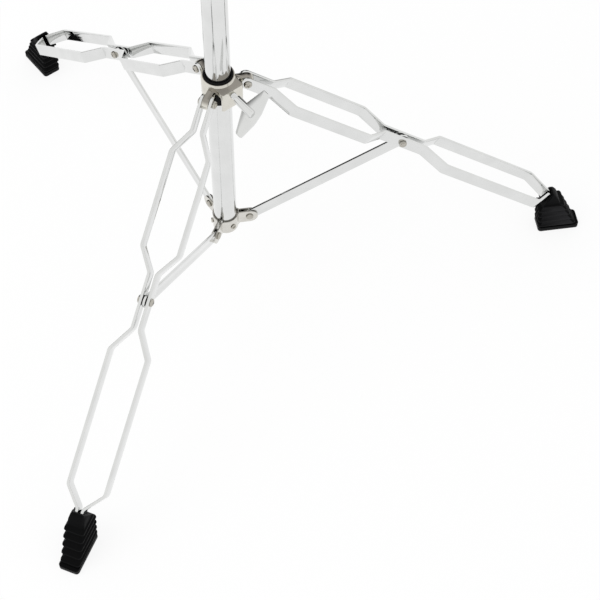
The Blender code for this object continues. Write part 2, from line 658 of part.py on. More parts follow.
def foot(name, frame):
    """Ribbed rubber boot lofted from level rings, with a square mouth and a pocket for the bars."""
    form = bmesh.new()
    loops = [[form.verts.new(point) for point in ring] for ring in foot_levels()]
    for lower, upper in zip(loops, loops[1:]):
        for i in range(len(lower)):
            j = (i + 1) % len(lower)
            form.faces.new((lower[i], lower[j], upper[j], upper[i]))
    form.faces.new(loops[0])
    form.faces.new(loops[-1])
    to_leg = Matrix.Rotation(-LEG_SLOPE, 4, "Y") @ Matrix.Translation((-COLLAR_PIVOT, 0, -PIVOT_HEIGHT))
    form.transform(to_leg)
    piece = make_object(name, mesh_from(name, form), frame, RUBBER)
    lying = Matrix.Rotation(math.radians(90), 4, "X")
    reach = FOOT_HEIGHT
    inward = BOOT_MOUTH - reach
    square = [(inward, -reach), (BOOT_MOUTH, -reach), (BOOT_MOUTH, reach), (inward, reach)]
    mouth = plate(name + "_mouth", square, -2 * FOOT_HALF_WIDTH, 2 * FOOT_HALF_WIDTH, frame, RUBBER, lying)
    cut(piece, mouth)
    pocket_half = SPREAD_FOOT + BAR_THICKNESS / 2 + GAP
    pocket_radius = BAR_WIDTH / 2 + GAP
    pocket_line = stadium(BOOT_MOUTH - BOOT_GRIP, BAR_END - BAR_WIDTH / 2, pocket_radius)
    pocket = plate(name + "_pocket", pocket_line, -pocket_half, pocket_half, frame, RUBBER, lying)
    cut(piece, pocket)


hole_radius = PIN_RADIUS + PIN_GAP
leg_width = 2 * (SPREAD_LOOP_2 + BAR_THICKNESS)
for letter, azimuth in LEG_AZIMUTHS.items():
    sloping = upright(azimuth, COLLAR_PIVOT, 0) @ Matrix.Rotation(LEG_SLOPE, 4, "Y")
    leg_frame = make_frame("leg_" + letter, sloping, collar_frame)
    upper_hole = drill("collar_hole_" + letter, leg_frame, (0, 0, 0), (0, 1, 0), hole_radius, leg_width)
    middle_hole = drill("middle_hole_" + letter, leg_frame, (MIDDLE_PIVOT, 0, 0), (0, 1, 0), hole_radius,
                        leg_width)
    for side, hand in ((1, "left"), (-1, "right")):
        bar = strip(f"leg_bar_{letter}_{hand}", rounded_rows(leg_path(side), BAR_WIDTH / 2),
                    BAR_THICKNESS, leg_frame, CHROME)
        cut(bar, upper_hole)
        cut(bar, middle_hole)
    cut(collar, upper_hole)
    foot("foot_" + letter, leg_frame)

    # The bolt holds both bars to the lug, with its nut on the far side.
    grip = SPREAD_COLLAR + BAR_THICKNESS / 2
    bolt_tail = grip + GAP + HEAD_HEIGHT
    bolt_frame = make_frame("collar_bolt_frame_" + letter, upright(azimuth, COLLAR_PIVOT, 0), collar_frame)
    bolt = pin("collar_bolt_" + letter, bolt_frame, (0, 0, 0), grip, bolt_tail + TAIL_SHOW)
    nut_profile = [(0, -grip - GAP), (HEAD_RADIUS, -grip - GAP), (HEAD_RADIUS, -bolt_tail), (0, -bolt_tail)]
    nut = turned("collar_nut_" + letter, nut_profile, bolt_frame, CHROME, 6, turn=along((0, 1, 0)))
    cut(bolt, nut, "UNION")

    # The middle pivot is a screw in one bar and a nut in the other, with the strut's eye between them.
    bar_in = SPREAD_MIDDLE - BAR_THICKNESS / 2
    bar_out = SPREAD_MIDDLE + BAR_THICKNESS / 2
    pin("middle_screw_" + letter, leg_frame, (MIDDLE_PIVOT, 0, 0), bar_out, -bar_in - GAP)
    seat = bar_out + GAP
    nut_profile = [(0, seat + HEAD_HEIGHT), (HEAD_RADIUS, seat + HEAD_HEIGHT), (HEAD_RADIUS, seat),
                   (PIN_RADIUS, seat), (PIN_RADIUS, bar_in + GAP), (0, bar_in + GAP)]
    turned("middle_nut_" + letter, nut_profile, leg_frame, CHROME, 6,
           turn=along((0, -1, 0), (MIDDLE_PIVOT, 0, 0)))

    # The strut swings on its pin between the bracket's ears.
    strut_matrix = upright(azimuth, BRACKET_PIVOT, BRACKET_HEIGHT)
    pin_frame = make_frame("strut_pin_frame_" + letter, strut_matrix, base)
    rising = strut_matrix @ Matrix.Rotation(-STRUT_SLOPE, 4, "Y")
    strut_frame = make_frame("strut_turn_" + letter, rising, base)
    half_strut = STRUT_WIDTH / 2
    strut_line = [Vector((-half_strut, 0)), Vector((0, 0)), Vector((STRUT_LENGTH, 0)),
                  Vector((STRUT_LENGTH + half_strut, 0))]
    strut = strip("strut_" + letter, rounded_rows(strut_line, half_strut), STRUT_THICKNESS,
                  strut_frame, CHROME)
    deep = 4 * STRUT_THICKNESS
    cut(strut, drill("strut_foot_hole_" + letter, strut_frame, (0, 0, 0), (0, 1, 0), hole_radius, deep))
    cut(strut, drill("strut_eye_" + letter, strut_frame, (STRUT_LENGTH, 0, 0), (0, 1, 0),
                     BUSH_RADIUS + PIN_GAP, deep))
    ear_out = ear_side + PLATE_THICKNESS / 2
    tail = ear_out + GAP + HEAD_HEIGHT
    strut_pin = pin("strut_pin_" + letter, pin_frame, (0, 0, 0), ear_out, tail - TAIL_SHOW)
    tail_profile = [(0, -ear_out - GAP), (HEAD_RADIUS, -ear_out - GAP), (HEAD_RADIUS, TAIL_SHOW - tail),
                    (HEAD_RADIUS * 0.6, -tail), (0, -tail)]
    peened = turned("strut_pin_tail_" + letter, tail_profile, pin_frame, CHROME, 12, turn=along((0, 1, 0)))
    cut(strut_pin, peened, "UNION")

    flange_out = SPREAD_MIDDLE - BAR_THICKNESS / 2 - GAP
    flange_in = STRUT_THICKNESS / 2 + GAP
    bush_profile = [(BUSH_FLANGE, flange_out), (BUSH_FLANGE, flange_in), (BUSH_RADIUS, flange_in),
                    (BUSH_RADIUS, -flange_in), (BUSH_FLANGE, -flange_in), (BUSH_FLANGE, -flange_out),
                    (BUSH_BORE, -flange_out), (BUSH_BORE, flange_out)]
    turned("strut_bush_" + letter, bush_profile, strut_frame, BLACK_PLASTIC, 12, ring=True,
           turn=along((0, 1, 0), (STRUT_LENGTH, 0, 0)))


# Height clamps and the sliding tubes

def clamp(name, screw_name, frame, outer, inner, tube_top):
    """Casting on a tube's end with a bush and a wing screw for the tube that slides in it."""
    bush_out = inner + GAP + CLAMP_BUSH_WALL
    radius = outer + CLAMP_WALL
    bottom = tube_top - CLAMP_BELOW
    top = tube_top + CLAMP_ABOVE
    casting = cast_ring(name, frame, radius, top, bottom)
    screw_height = tube_top + CLAMP_ABOVE / 2
    face = radius + CLAMP_FACE
    add_boss(casting, frame, face, CLAMP_BOSS, screw_height - CLAMP_BOSS, screw_height + CLAMP_BOSS)
    lower = drill(name + "_tube_way", frame, (0, 0, bottom), (0, 0, 1), outer + GAP,
                  2 * (CLAMP_BELOW + GAP), 24)
    cut(casting, lower)
    cut(casting, drill(name + "_bush_way", frame, (0, 0, top), (0, 0, 1), bush_out + GAP,
                       4 * CLAMP_ABOVE, 24))
    drill_screw_way(casting, frame, face, screw_height)
    bush(name + "_bush", frame, inner + GAP, CLAMP_BUSH_WALL, tube_top + 2 * GAP, top)
    wing_screw(screw_name, frame, screw_height, bush_out + GAP, face)


clamp("lower_clamp", "lower_wing_screw", middle_frame, BASE_RADIUS, MIDDLE_RADIUS, 0)
tube("middle_tube", MIDDLE_RADIUS, MIDDLE_WALL, MIDDLE_BOTTOM - BASE_TOP, MIDDLE_TOP - BASE_TOP,
     middle_frame)
clamp("upper_clamp", "upper_wing_screw", upper_frame, MIDDLE_RADIUS, UPPER_RADIUS, 0)
tube("upper_tube", UPPER_RADIUS, UPPER_WALL, UPPER_BOTTOM - MIDDLE_TOP, UPPER_TOP - MIDDLE_TOP, upper_frame)


# Tilter, in a frame on the tilting axis, which runs along X

def box(name, low, high, frame, material):
    """Box between two corners."""
    outline = [(low[0], low[1]), (high[0], low[1]), (high[0], high[1]), (low[0], high[1])]
    return plate(name, outline, low[2], high[2], frame, material)


def disc(name, near, far, frame):
    """Disc on the tilting axis between two places along it."""
    profile = [(0, far), (DISC_RADIUS - TILTER_RIM, far), (DISC_RADIUS, far - TILTER_RIM),
               (DISC_RADIUS, near), (0, near)]
    return turned(name, profile, frame, NICKEL, 20, turn=along((1, 0, 0)))


sleeve_radius = UPPER_RADIUS + GAP + TILTER_WALL
half_gap = GAP / 2
base_top = TILTER_COLLAR - DISC_RISE
base_low = -DISC_RISE - TILTER_GRIP
base_profile = [(0, base_top), (sleeve_radius - 2 * TILTER_RIM, base_top),
                (sleeve_radius, base_top - 4 * TILTER_RIM), (sleeve_radius, base_low), (0, base_low)]
tilter_base = turned("tilter_base", base_profile, tilt_frame, NICKEL, 20)
base_side = -DISC_WIDTH - half_gap
cut(tilter_base, box("tilter_neck", (base_side, -SOCKET_RADIUS, TILTER_RIM - DISC_RISE),
                     (-half_gap, SOCKET_RADIUS, 0), tilt_frame, NICKEL), "UNION")
cut(tilter_base, disc("tilter_base_disc", base_side, -half_gap, tilt_frame), "UNION")
cut(tilter_base, drill("tilter_tube_way", tilt_frame, (0, 0, base_low), (0, 0, 1), UPPER_RADIUS + GAP,
                       2 * (TILTER_GRIP + GAP), 20))

socket = [(0, SOCKET_TOP), (SOCKET_RADIUS - TILTER_RIM, SOCKET_TOP),
          (SOCKET_RADIUS, SOCKET_TOP - TILTER_RIM), (SOCKET_RADIUS, SOCKET_BOTTOM), (0, SOCKET_BOTTOM)]
tilter_head = turned("tilter_head", socket, tilt_frame, NICKEL, 20)
neck_side = SOCKET_RADIUS * 0.95
neck_corner = (DISC_WIDTH + half_gap, neck_side, SOCKET_BOTTOM + 3 * TILTER_RIM)
cut(tilter_head, box("tilter_head_neck", (half_gap, -neck_side, 0), neck_corner, tilt_frame, NICKEL),
    "UNION")
cut(tilter_head, disc("tilter_head_disc", half_gap, DISC_WIDTH + half_gap, tilt_frame), "UNION")
bolt_way = drill("tilter_bolt_way", tilt_frame, (0, 0, 0), (1, 0, 0), SCREW_RADIUS + PIN_GAP,
                 4 * DISC_WIDTH)
cut(tilter_base, bolt_way)
cut(tilter_head, bolt_way)
cut(tilter_head, drill("rod_way", tilt_frame, (0, 0, SOCKET_TOP), (0, 0, 1), ROD_RADIUS + PIN_GAP,
                       2 * (SOCKET_TOP - ROD_START + GAP), 16))

disc_out = DISC_WIDTH + half_gap
wing_start = disc_out + GAP
wing_end = wing_start + NUT_HEIGHT
bolt_head = -disc_out - GAP
bolt_profile = [(0, wing_end + BOLT_SHOW), (SCREW_RADIUS, wing_end + BOLT_SHOW), (SCREW_RADIUS, bolt_head),
                (BOLT_HEAD, bolt_head), (BOLT_HEAD, bolt_head - BOLT_HEAD_HEIGHT),
                (0, bolt_head - BOLT_HEAD_HEIGHT)]
turned("tilter_bolt", bolt_profile, tilt_frame, CHROME, 12, turn=along((1, 0, 0)))


def wing_nut(name, frame, bore_radius, turn):
    """Wing nut from 0 up its own axis, with its wings swept away from the seat."""
    inner = bore_radius + PIN_GAP
    profile = [(NUT_RADIUS * 0.80, NUT_HEIGHT), (NUT_RADIUS, 0), (inner, 0), (inner, NUT_HEIGHT)]
    piece = turned(name, profile, frame, CHROME, 16, ring=True, turn=turn @ along((0, 0, 1)))
    outline = wing_outline(NUT_HEIGHT * 0.25, NUT_HEIGHT * 1.15, NUT_RADIUS * 0.8, NUT_SPAN)
    half = len(outline) // 2
    upright_wings = Matrix.Rotation(math.radians(-90), 4, "Y")
    flat = WING_THICKNESS / 2
    for hand, side in (("left", outline[:half]), ("right", outline[half:])):
        wing = plate(f"{name}_{hand}", side, -flat, flat, frame, CHROME, turn @ upright_wings)
        cut(piece, wing, "UNION")


turn_frame = make_frame("tilter_nut_turn", along((1, 0, 0), (wing_start, 0, 0)), tilt_frame)
wing_nut("tilter_wing_nut", turn_frame, SCREW_RADIUS, LEVEL)

# Cymbal seat, stacked up the rod

rod_profile = [(0, ROD_TOP), (ROD_RADIUS - TILTER_RIM, ROD_TOP), (ROD_RADIUS, ROD_TOP - TILTER_RIM),
               (ROD_RADIUS, ROD_START), (0, ROD_START)]
turned("cymbal_rod", rod_profile, tilt_frame, CHROME, 16)
cup_bottom = SOCKET_TOP + GAP
cup_top = cup_bottom + CUP_HEIGHT
cup_floor = cup_bottom + CUP_SHEET
rod_bore = ROD_RADIUS + PIN_GAP
sleeve_out = rod_bore + SLEEVE_WALL
cup_profile = [(CUP_RADIUS, cup_top), (CUP_RADIUS, cup_top - CUP_SHEET), (CUP_RADIUS * 0.55, cup_bottom),
               (rod_bore, cup_bottom), (rod_bore, cup_floor), (CUP_RADIUS * 0.50, cup_floor),
               (CUP_RADIUS * 0.93, cup_top)]
turned("cup_washer", cup_profile, tilt_frame, CHROME, 20, ring=True)
sleeve_bottom = cup_floor + GAP
felt_bottom = cup_top + GAP
felt_top = felt_bottom + 2 * FELT_HEIGHT + GAP
sleeve_top = felt_top - SLEEVE_SINK
sleeve_flange = CUP_RADIUS * 0.45
sleeve_profile = [(sleeve_out, sleeve_top), (sleeve_out, sleeve_bottom + SLEEVE_WALL),
                  (sleeve_flange, sleeve_bottom + SLEEVE_WALL), (sleeve_flange, sleeve_bottom),
                  (rod_bore, sleeve_bottom), (rod_bore, sleeve_top)]
turned("rod_sleeve", sleeve_profile, tilt_frame, BLACK_PLASTIC, 16, ring=True)


def felt(name, bottom):
    """Felt washer on the sleeve."""
    inner = sleeve_out + GAP
    rim = FELT_RADIUS - FELT_EDGE
    top = bottom + FELT_HEIGHT
    profile = [(rim, top), (FELT_RADIUS, top - FELT_EDGE), (FELT_RADIUS, bottom + FELT_EDGE), (rim, bottom),
               (inner, bottom), (inner, top)]
    turned(name, profile, tilt_frame, FELT, 20, ring=True)


felt("lower_felt", felt_bottom)
felt("upper_felt", felt_bottom + FELT_HEIGHT + GAP)
nut_frame = make_frame("top_nut_turn", Matrix.Translation((0, 0, felt_top + GAP)), tilt_frame)
wing_nut("top_wing_nut", nut_frame, ROD_RADIUS, LEVEL)
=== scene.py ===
import math

import bpy
from mathutils import Matrix, Vector


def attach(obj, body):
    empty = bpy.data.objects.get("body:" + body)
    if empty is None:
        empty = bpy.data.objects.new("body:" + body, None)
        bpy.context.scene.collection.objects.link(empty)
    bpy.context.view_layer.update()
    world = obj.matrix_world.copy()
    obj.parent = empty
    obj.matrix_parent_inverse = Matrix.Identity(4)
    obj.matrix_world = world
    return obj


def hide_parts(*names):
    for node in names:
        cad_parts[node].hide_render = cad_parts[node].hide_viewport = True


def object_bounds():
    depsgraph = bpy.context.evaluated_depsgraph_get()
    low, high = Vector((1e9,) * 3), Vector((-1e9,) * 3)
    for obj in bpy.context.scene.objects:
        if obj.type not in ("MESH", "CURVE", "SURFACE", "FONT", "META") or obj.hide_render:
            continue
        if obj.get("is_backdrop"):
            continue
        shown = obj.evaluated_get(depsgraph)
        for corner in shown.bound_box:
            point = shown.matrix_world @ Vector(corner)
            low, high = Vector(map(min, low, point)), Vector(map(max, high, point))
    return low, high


# Cymbal stand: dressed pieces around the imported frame, metres, +Z up

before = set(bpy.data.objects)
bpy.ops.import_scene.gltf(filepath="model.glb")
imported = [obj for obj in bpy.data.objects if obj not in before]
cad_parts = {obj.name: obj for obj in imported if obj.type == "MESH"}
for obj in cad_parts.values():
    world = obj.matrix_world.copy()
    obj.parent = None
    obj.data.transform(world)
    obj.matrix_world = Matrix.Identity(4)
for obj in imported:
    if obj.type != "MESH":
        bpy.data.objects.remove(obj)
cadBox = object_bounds()
scene = bpy.context.scene
scene.view_settings.view_transform = "Standard"
print("frame loaded:", len(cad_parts), "nodes")

# camera, floor and light

shot = {
    "place": (0.42417, -0.79241, 1.41422),
    "turn": (33.3532, -0.6052, 21.4007),   # degrees
    "lens": 88.60,
}
studio = {
    "floorSize": 30.0,
    "floorColour": (0.95, 0.95, 0.95),
    "floorWhite": 0.86,                    # how much of the floor's look is plain white
    "skyLight": (0.90, 0.90, 0.90),        # light from all round
    "roomWhite": (0.97, 0.97, 0.96),       # what the metal reflects
    "roomDark": (0.03, 0.03, 0.03),
    "darkSide": (-0.707, 0.707, 0.0),      # where the dark patch lies
    "darkFrom": (0.40, 0.62),
    "darkHeights": [(0.02, 0), (0.14, 1), (0.60, 1), (0.74, 0)],
    "lampPlace": (-1.6, -1.4, 2.8),
    "lampSize": 2.4,
    "lampPower": 26.0,
    "lampAim": (0, 0, 0.3),
}


def makeCamera():
    bpy.ops.object.camera_add(location=shot["place"], rotation=[math.radians(a) for a in shot["turn"]])
    camera = bpy.context.object
    camera.data.lens = shot["lens"]
    camera.data.sensor_width = 36.0
    camera.data.clip_start = 0.01
    camera.data.clip_end = 60.0
    scene.camera = camera


def makeFloor():
    bpy.ops.mesh.primitive_plane_add(size=studio["floorSize"], location=(0, 0, 0))
    floor = bpy.context.object
    floor.name = "floor"
    paint = bpy.data.materials.new("floorPaint")
    paint.use_nodes = True
    nodes = paint.node_tree.nodes
    shader = nodes["Principled BSDF"]
    shader.inputs["Base Color"].default_value = (*studio["floorColour"], 1)
    shader.inputs["Roughness"].default_value = 0.9
    shader.inputs["Specular IOR Level"].default_value = 0.0
    # white to the camera and in the chrome, with the shadows left in
    links = paint.node_tree.links
    rays = nodes.new("ShaderNodeLightPath")
    seen = nodes.new("ShaderNodeMath")
    seen.operation = "MAXIMUM"
    links.new(rays.outputs["Is Camera Ray"], seen.inputs[0])
    links.new(rays.outputs["Is Glossy Ray"], seen.inputs[1])
    share = nodes.new("ShaderNodeMath")
    share.operation = "MULTIPLY"
    share.inputs[1].default_value = studio["floorWhite"]
    links.new(seen.outputs["Value"], share.inputs[0])
    white = nodes.new("ShaderNodeEmission")
    white.inputs["Strength"].default_value = 1.0
    blend = nodes.new("ShaderNodeMixShader")
    links.new(share.outputs["Value"], blend.inputs["Fac"])
    links.new(shader.outputs["BSDF"], blend.inputs[1])
    links.new(white.outputs["Emission"], blend.inputs[2])
    links.new(blend.outputs["Shader"], nodes["Material Output"].inputs["Surface"])
    floor.data.materials.append(paint)
    floor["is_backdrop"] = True


def makeSky():
    world = bpy.data.worlds.new("studioSky")
    scene.world = world
    world.use_nodes = True
    nodes = world.node_tree.nodes
    links = world.node_tree.links
    background = nodes["Background"]
    background.inputs["Strength"].default_value = 1.0
    where = nodes.new("ShaderNodeTexCoord")
    # metal reflects white all round, but for a dark patch of the room behind the stand
    side = nodes.new("ShaderNodeVectorMath")
    side.operation = "DOT_PRODUCT"
    side.inputs[1].default_value = studio["darkSide"]
    links.new(where.outputs["Generated"], side.inputs[0])
    split = nodes.new("ShaderNodeSeparateXYZ")
    links.new(where.outputs["Generated"], split.inputs["Vector"])
    towards = nodes.new("ShaderNodeMapRange")
    towards.interpolation_type = "SMOOTHSTEP"
    towards.inputs["From Min"].default_value = studio["darkFrom"][0]
    towards.inputs["From Max"].default_value = studio["darkFrom"][1]
    links.new(side.outputs["Value"], towards.inputs["Value"])
    heights = nodes.new("ShaderNodeValToRGB")
    stops = heights.color_ramp.elements
    for _ in range(len(studio["darkHeights"]) - 2):
        stops.new(0.5)
    for stop, (height, tone) in zip(stops, studio["darkHeights"]):
        stop.position = height
        stop.color = (tone, tone, tone, 1)
    links.new(split.outputs["Z"], heights.inputs["Fac"])
    dark = nodes.new("ShaderNodeMath")
    dark.operation = "MULTIPLY"
    links.new(towards.outputs["Result"], dark.inputs[0])
    links.new(heights.outputs["Color"], dark.inputs[1])
    room = nodes.new("ShaderNodeMix")
    room.data_type = "RGBA"
    room.inputs["A"].default_value = (*studio["roomWhite"], 1)
    room.inputs["B"].default_value = (*studio["roomDark"], 1)
    links.new(dark.outputs["Value"], room.inputs["Factor"])
    rays = nodes.new("ShaderNodeLightPath")
    glossy = nodes.new("ShaderNodeMix")
    glossy.data_type = "RGBA"
    glossy.inputs["A"].default_value = (*studio["skyLight"], 1)
    links.new(rays.outputs["Is Glossy Ray"], glossy.inputs["Factor"])
    links.new(room.outputs["Result"], glossy.inputs["B"])
    camera = nodes.new("ShaderNodeMix")
    camera.data_type = "RGBA"
    camera.inputs["B"].default_value = (1, 1, 1, 1)
    links.new(rays.outputs["Is Camera Ray"], camera.inputs["Factor"])
    links.new(glossy.outputs["Result"], camera.inputs["A"])
    links.new(camera.outputs["Result"], background.inputs["Color"])


def makeLamp():
    bpy.ops.object.light_add(type="AREA", location=studio["lampPlace"])
    lamp = bpy.context.object
    lamp.data.shape = "DISK"
    lamp.data.size = studio["lampSize"]
    lamp.data.energy = studio["lampPower"]
    lamp.visible_glossy = False
    aim = Vector(studio["lampAim"]) - lamp.location
    lamp.rotation_euler = aim.to_track_quat("-Z", "Y").to_euler()


makeCamera()
makeFloor()
makeSky()
makeLamp()
print("camera and studio ready")

# finishes

# patch and grain are noise scales; the edge share is how far edges are lightened towards the edge colour,
# partly wear and partly a painted highlight
chromeLook = {
    "colour": (0.79, 0.795, 0.79), "shade": (0.66, 0.665, 0.66), "edge": (0.90, 0.90, 0.90),
    "patch": 45, "grain": 700, "bump": 0.015, "rough": (0.03, 0.10),
    "metallic": 1.0, "specular": 0.5, "edgeWearAndHighlight": 0.15,
}
castLook = {
    "colour": (0.74, 0.72, 0.66), "shade": (0.60, 0.58, 0.52), "edge": (0.88, 0.87, 0.84),
    "patch": 140, "grain": 1400, "bump": 0.03, "rough": (0.07, 0.18),
    "metallic": 1.0, "specular": 0.5, "edgeWearAndHighlight": 0.15,
    # top is a painted shade: the darker colour given to faces that look up
    "top": (0.30, 0.28, 0.25),
}
pressedLook = {
    "colour": (0.74, 0.73, 0.69), "shade": (0.56, 0.54, 0.50), "edge": (0.86, 0.85, 0.82),
    "patch": 160, "grain": 1200, "bump": 0.03, "rough": (0.08, 0.20),
    "metallic": 1.0, "specular": 0.5, "edgeWearAndHighlight": 0.15,
    # top is a painted shade: the darker colour given to faces that look up
    "top": (0.24, 0.23, 0.21),
}
boltLook = {
    "colour": (0.60, 0.58, 0.53), "shade": (0.32, 0.30, 0.26), "edge": (0.80, 0.79, 0.76),
    "patch": 260, "grain": 1600, "bump": 0.03, "rough": (0.08, 0.20),
    "metallic": 1.0, "specular": 0.5, "edgeWearAndHighlight": 0.15,
}
# the rubber's strong edge lightening paints highlights on the rib lips
rubberLook = {
    "colour": (0.0030, 0.0030, 0.0033), "shade": (0.0010, 0.0010, 0.0012), "edge": (0.030, 0.030, 0.032),
    "patch": 120, "grain": 2400, "bump": 0.12, "rough": (0.36, 0.56),
    "metallic": 0.0, "specular": 0.05, "edgeWearAndHighlight": 0.7,
}
plasticLook = {
    "colour": (0.0040, 0.0040, 0.0044), "shade": (0.0018, 0.0018, 0.002), "edge": (0.015, 0.015, 0.016),
    "patch": 180, "grain": 1800, "bump": 0.05, "rough": (0.30, 0.44),
    "metallic": 0.0, "specular": 0.08, "edgeWearAndHighlight": 0.5,
}


def mixFinish(name, look):
    # patches of tone, fine grain in the bump, edges lightened as wear and as a painted highlight, and upward
    # faces darkened as painted shade where the look has a top colour
    paint = bpy.data.materials.new(name)
    paint.use_nodes = True
    nodes = paint.node_tree.nodes
    links = paint.node_tree.links
    shader = nodes["Principled BSDF"]
    shader.inputs["Metallic"].default_value = look["metallic"]
    shader.inputs["Specular IOR Level"].default_value = look["specular"]
    where = nodes.new("ShaderNodeTexCoord")
    patch = nodes.new("ShaderNodeTexNoise")
    patch.inputs["Scale"].default_value = look["patch"]
    patch.inputs["Detail"].default_value = 4
    links.new(where.outputs["Object"], patch.inputs["Vector"])
    tone = nodes.new("ShaderNodeMix")
    tone.data_type = "RGBA"
    tone.inputs["A"].default_value = (*look["shade"], 1)
    tone.inputs["B"].default_value = (*look["colour"], 1)
    links.new(patch.outputs["Fac"], tone.inputs["Factor"])
    plain = tone
    if "top" in look:                                  # painted shade: faces that look up are darkened towards the top colour
        facing = nodes.new("ShaderNodeSeparateXYZ")
        links.new(where.outputs["Normal"], facing.inputs["Vector"])
        topShadeMask = nodes.new("ShaderNodeMapRange")
        topShadeMask.inputs["From Min"].default_value = 0.45
        topShadeMask.inputs["From Max"].default_value = 0.85
        links.new(facing.outputs["Z"], topShadeMask.inputs["Value"])
        plain = nodes.new("ShaderNodeMix")
        plain.data_type = "RGBA"
        plain.inputs["B"].default_value = (*look["top"], 1)
        links.new(topShadeMask.outputs["Result"], plain.inputs["Factor"])
        links.new(tone.outputs["Result"], plain.inputs["A"])
    # painted highlight mixed with wear: edges found by pointiness are lightened towards the edge colour
    shape = nodes.new("ShaderNodeNewGeometry")
    edgeLightMask = nodes.new("ShaderNodeMapRange")
    edgeLightMask.inputs["From Min"].default_value = 0.52
    edgeLightMask.inputs["From Max"].default_value = 0.62
    edgeLightMask.inputs["To Max"].default_value = look["edgeWearAndHighlight"]
    links.new(shape.outputs["Pointiness"], edgeLightMask.inputs["Value"])
    wornAndHighlit = nodes.new("ShaderNodeMix")
    wornAndHighlit.data_type = "RGBA"
    wornAndHighlit.inputs["B"].default_value = (*look["edge"], 1)
    links.new(edgeLightMask.outputs["Result"], wornAndHighlit.inputs["Factor"])
    links.new(plain.outputs["Result"], wornAndHighlit.inputs["A"])
    links.new(wornAndHighlit.outputs["Result"], shader.inputs["Base Color"])
    grain = nodes.new("ShaderNodeTexNoise")
    grain.inputs["Scale"].default_value = look["grain"]
    grain.inputs["Detail"].default_value = 3
    links.new(where.outputs["Object"], grain.inputs["Vector"])
    gloss = nodes.new("ShaderNodeMapRange")
    gloss.inputs["From Min"].default_value = 0.3
    gloss.inputs["From Max"].default_value = 0.7
    gloss.inputs["To Min"].default_value = look["rough"][0]
    gloss.inputs["To Max"].default_value = look["rough"][1]
    links.new(patch.outputs["Fac"], gloss.inputs["Value"])
    links.new(gloss.outputs["Result"], shader.inputs["Roughness"])
    bump = nodes.new("ShaderNodeBump")
    bump.inputs["Strength"].default_value = look["bump"]
    bump.inputs["Distance"].default_value = 0.0002
    links.new(grain.outputs["Fac"], bump.inputs["Height"])
    links.new(bump.outputs["Normal"], shader.inputs["Normal"])
    return paint


def mixFelt():
    # pressed wool: tangled fibres, soft sheen
    paint = bpy.data.materials.new("pressedFelt")
    paint.use_nodes = True
    nodes = paint.node_tree.nodes
    links = paint.node_tree.links
    shader = nodes["Principled BSDF"]
    shader.inputs["Roughness"].default_value = 0.95
    shader.inputs["Specular IOR Level"].default_value = 0.1
    shader.inputs["Sheen Weight"].default_value = 0.35
    shader.inputs["Sheen Roughness"].default_value = 0.5
    where = nodes.new("ShaderNodeTexCoord")
    fibre = nodes.new("ShaderNodeTexNoise")
    fibre.inputs["Scale"].default_value = 900
    fibre.inputs["Detail"].default_value = 5
    fibre.inputs["Distortion"].default_value = 2.5
    links.new(where.outputs["Object"], fibre.inputs["Vector"])
    ramp = nodes.new("ShaderNodeValToRGB")
    ramp.color_ramp.elements[0].position = 0.35
    ramp.color_ramp.elements[0].color = (0.012, 0.012, 0.013, 1)
    ramp.color_ramp.elements[1].position = 0.75
    ramp.color_ramp.elements[1].color = (0.075, 0.075, 0.08, 1)
    links.new(fibre.outputs["Fac"], ramp.inputs["Fac"])
    links.new(ramp.outputs["Color"], shader.inputs["Base Color"])
    bump = nodes.new("ShaderNodeBump")
    bump.inputs["Strength"].default_value = 0.7
    bump.inputs["Distance"].default_value = 0.0004
    links.new(fibre.outputs["Fac"], bump.inputs["Height"])
    links.new(bump.outputs["Normal"], shader.inputs["Normal"])
    return paint


brightChrome = mixFinish("brightChrome", chromeLook)
satinCasting = mixFinish("satinCasting", castLook)
pressedSheet = mixFinish("pressedSheet", pressedLook)
platedBolt = mixFinish("platedBolt", boltLook)
mouldedRubber = mixFinish("mouldedRubber", rubberLook)
blackNylon = mixFinish("blackNylon", plasticLook)
pressedFelt = mixFelt()
print("finishes mixed")

# places and tools

standAt = {
    "axisY": 0.100147,                      # the tubes' axis
    "legs": {"a": 30.0, "b": -90.0, "c": 150.0},
    "plates": {"ab": -30.0, "ac": 90.0, "bc": 210.0},
    "wings": -30.0,
    "collar": 0.308,
    "legRadius": 0.02855,
    "tipHeight": 0.04695,
    "barEnd": 0.4420,
    "middlePivot": 0.2046,
    "bracket": 0.0845,
    "strutRadius": 0.0268,
    "lowerTop": 0.588,
    "middleTop": 0.800,
    "tilt": 1.051,
}
legSlope = math.asin((standAt["collar"] - standAt["tipHeight"]) / standAt["barEnd"])
middleOut = standAt["legRadius"] + standAt["middlePivot"] * math.cos(legSlope)
middleUp = standAt["collar"] - standAt["middlePivot"] * math.sin(legSlope)
strutLength = math.hypot(middleOut - standAt["strutRadius"], middleUp - standAt["bracket"])
strutSlope = math.atan2(middleUp - standAt["bracket"], middleOut - standAt["strutRadius"])


def turned(axis, degrees):
    return Matrix.Rotation(math.radians(degrees), 4, axis)


def moved(x, y, z):
    return Matrix.Translation((x, y, z))


def placeAt(azimuth, radius=0.0, height=0.0, slope=0.0):
    # x points outward along the azimuth, and tips down by the slope in radians
    lean = Matrix.Rotation(slope, 4, "Y")
    return moved(0, standAt["axisY"], 0) @ turned("Z", azimuth) @ moved(radius, 0, height) @ lean


def pickPiece(piece):
    bpy.ops.object.select_all(action="DESELECT")
    piece.select_set(True)
    bpy.context.view_layer.objects.active = piece


def legPlace(azimuth):
    return placeAt(azimuth, standAt["legRadius"], standAt["collar"], legSlope)


def strutFoot(azimuth, slope=0.0):
    return placeAt(azimuth, standAt["strutRadius"], standAt["bracket"], slope)


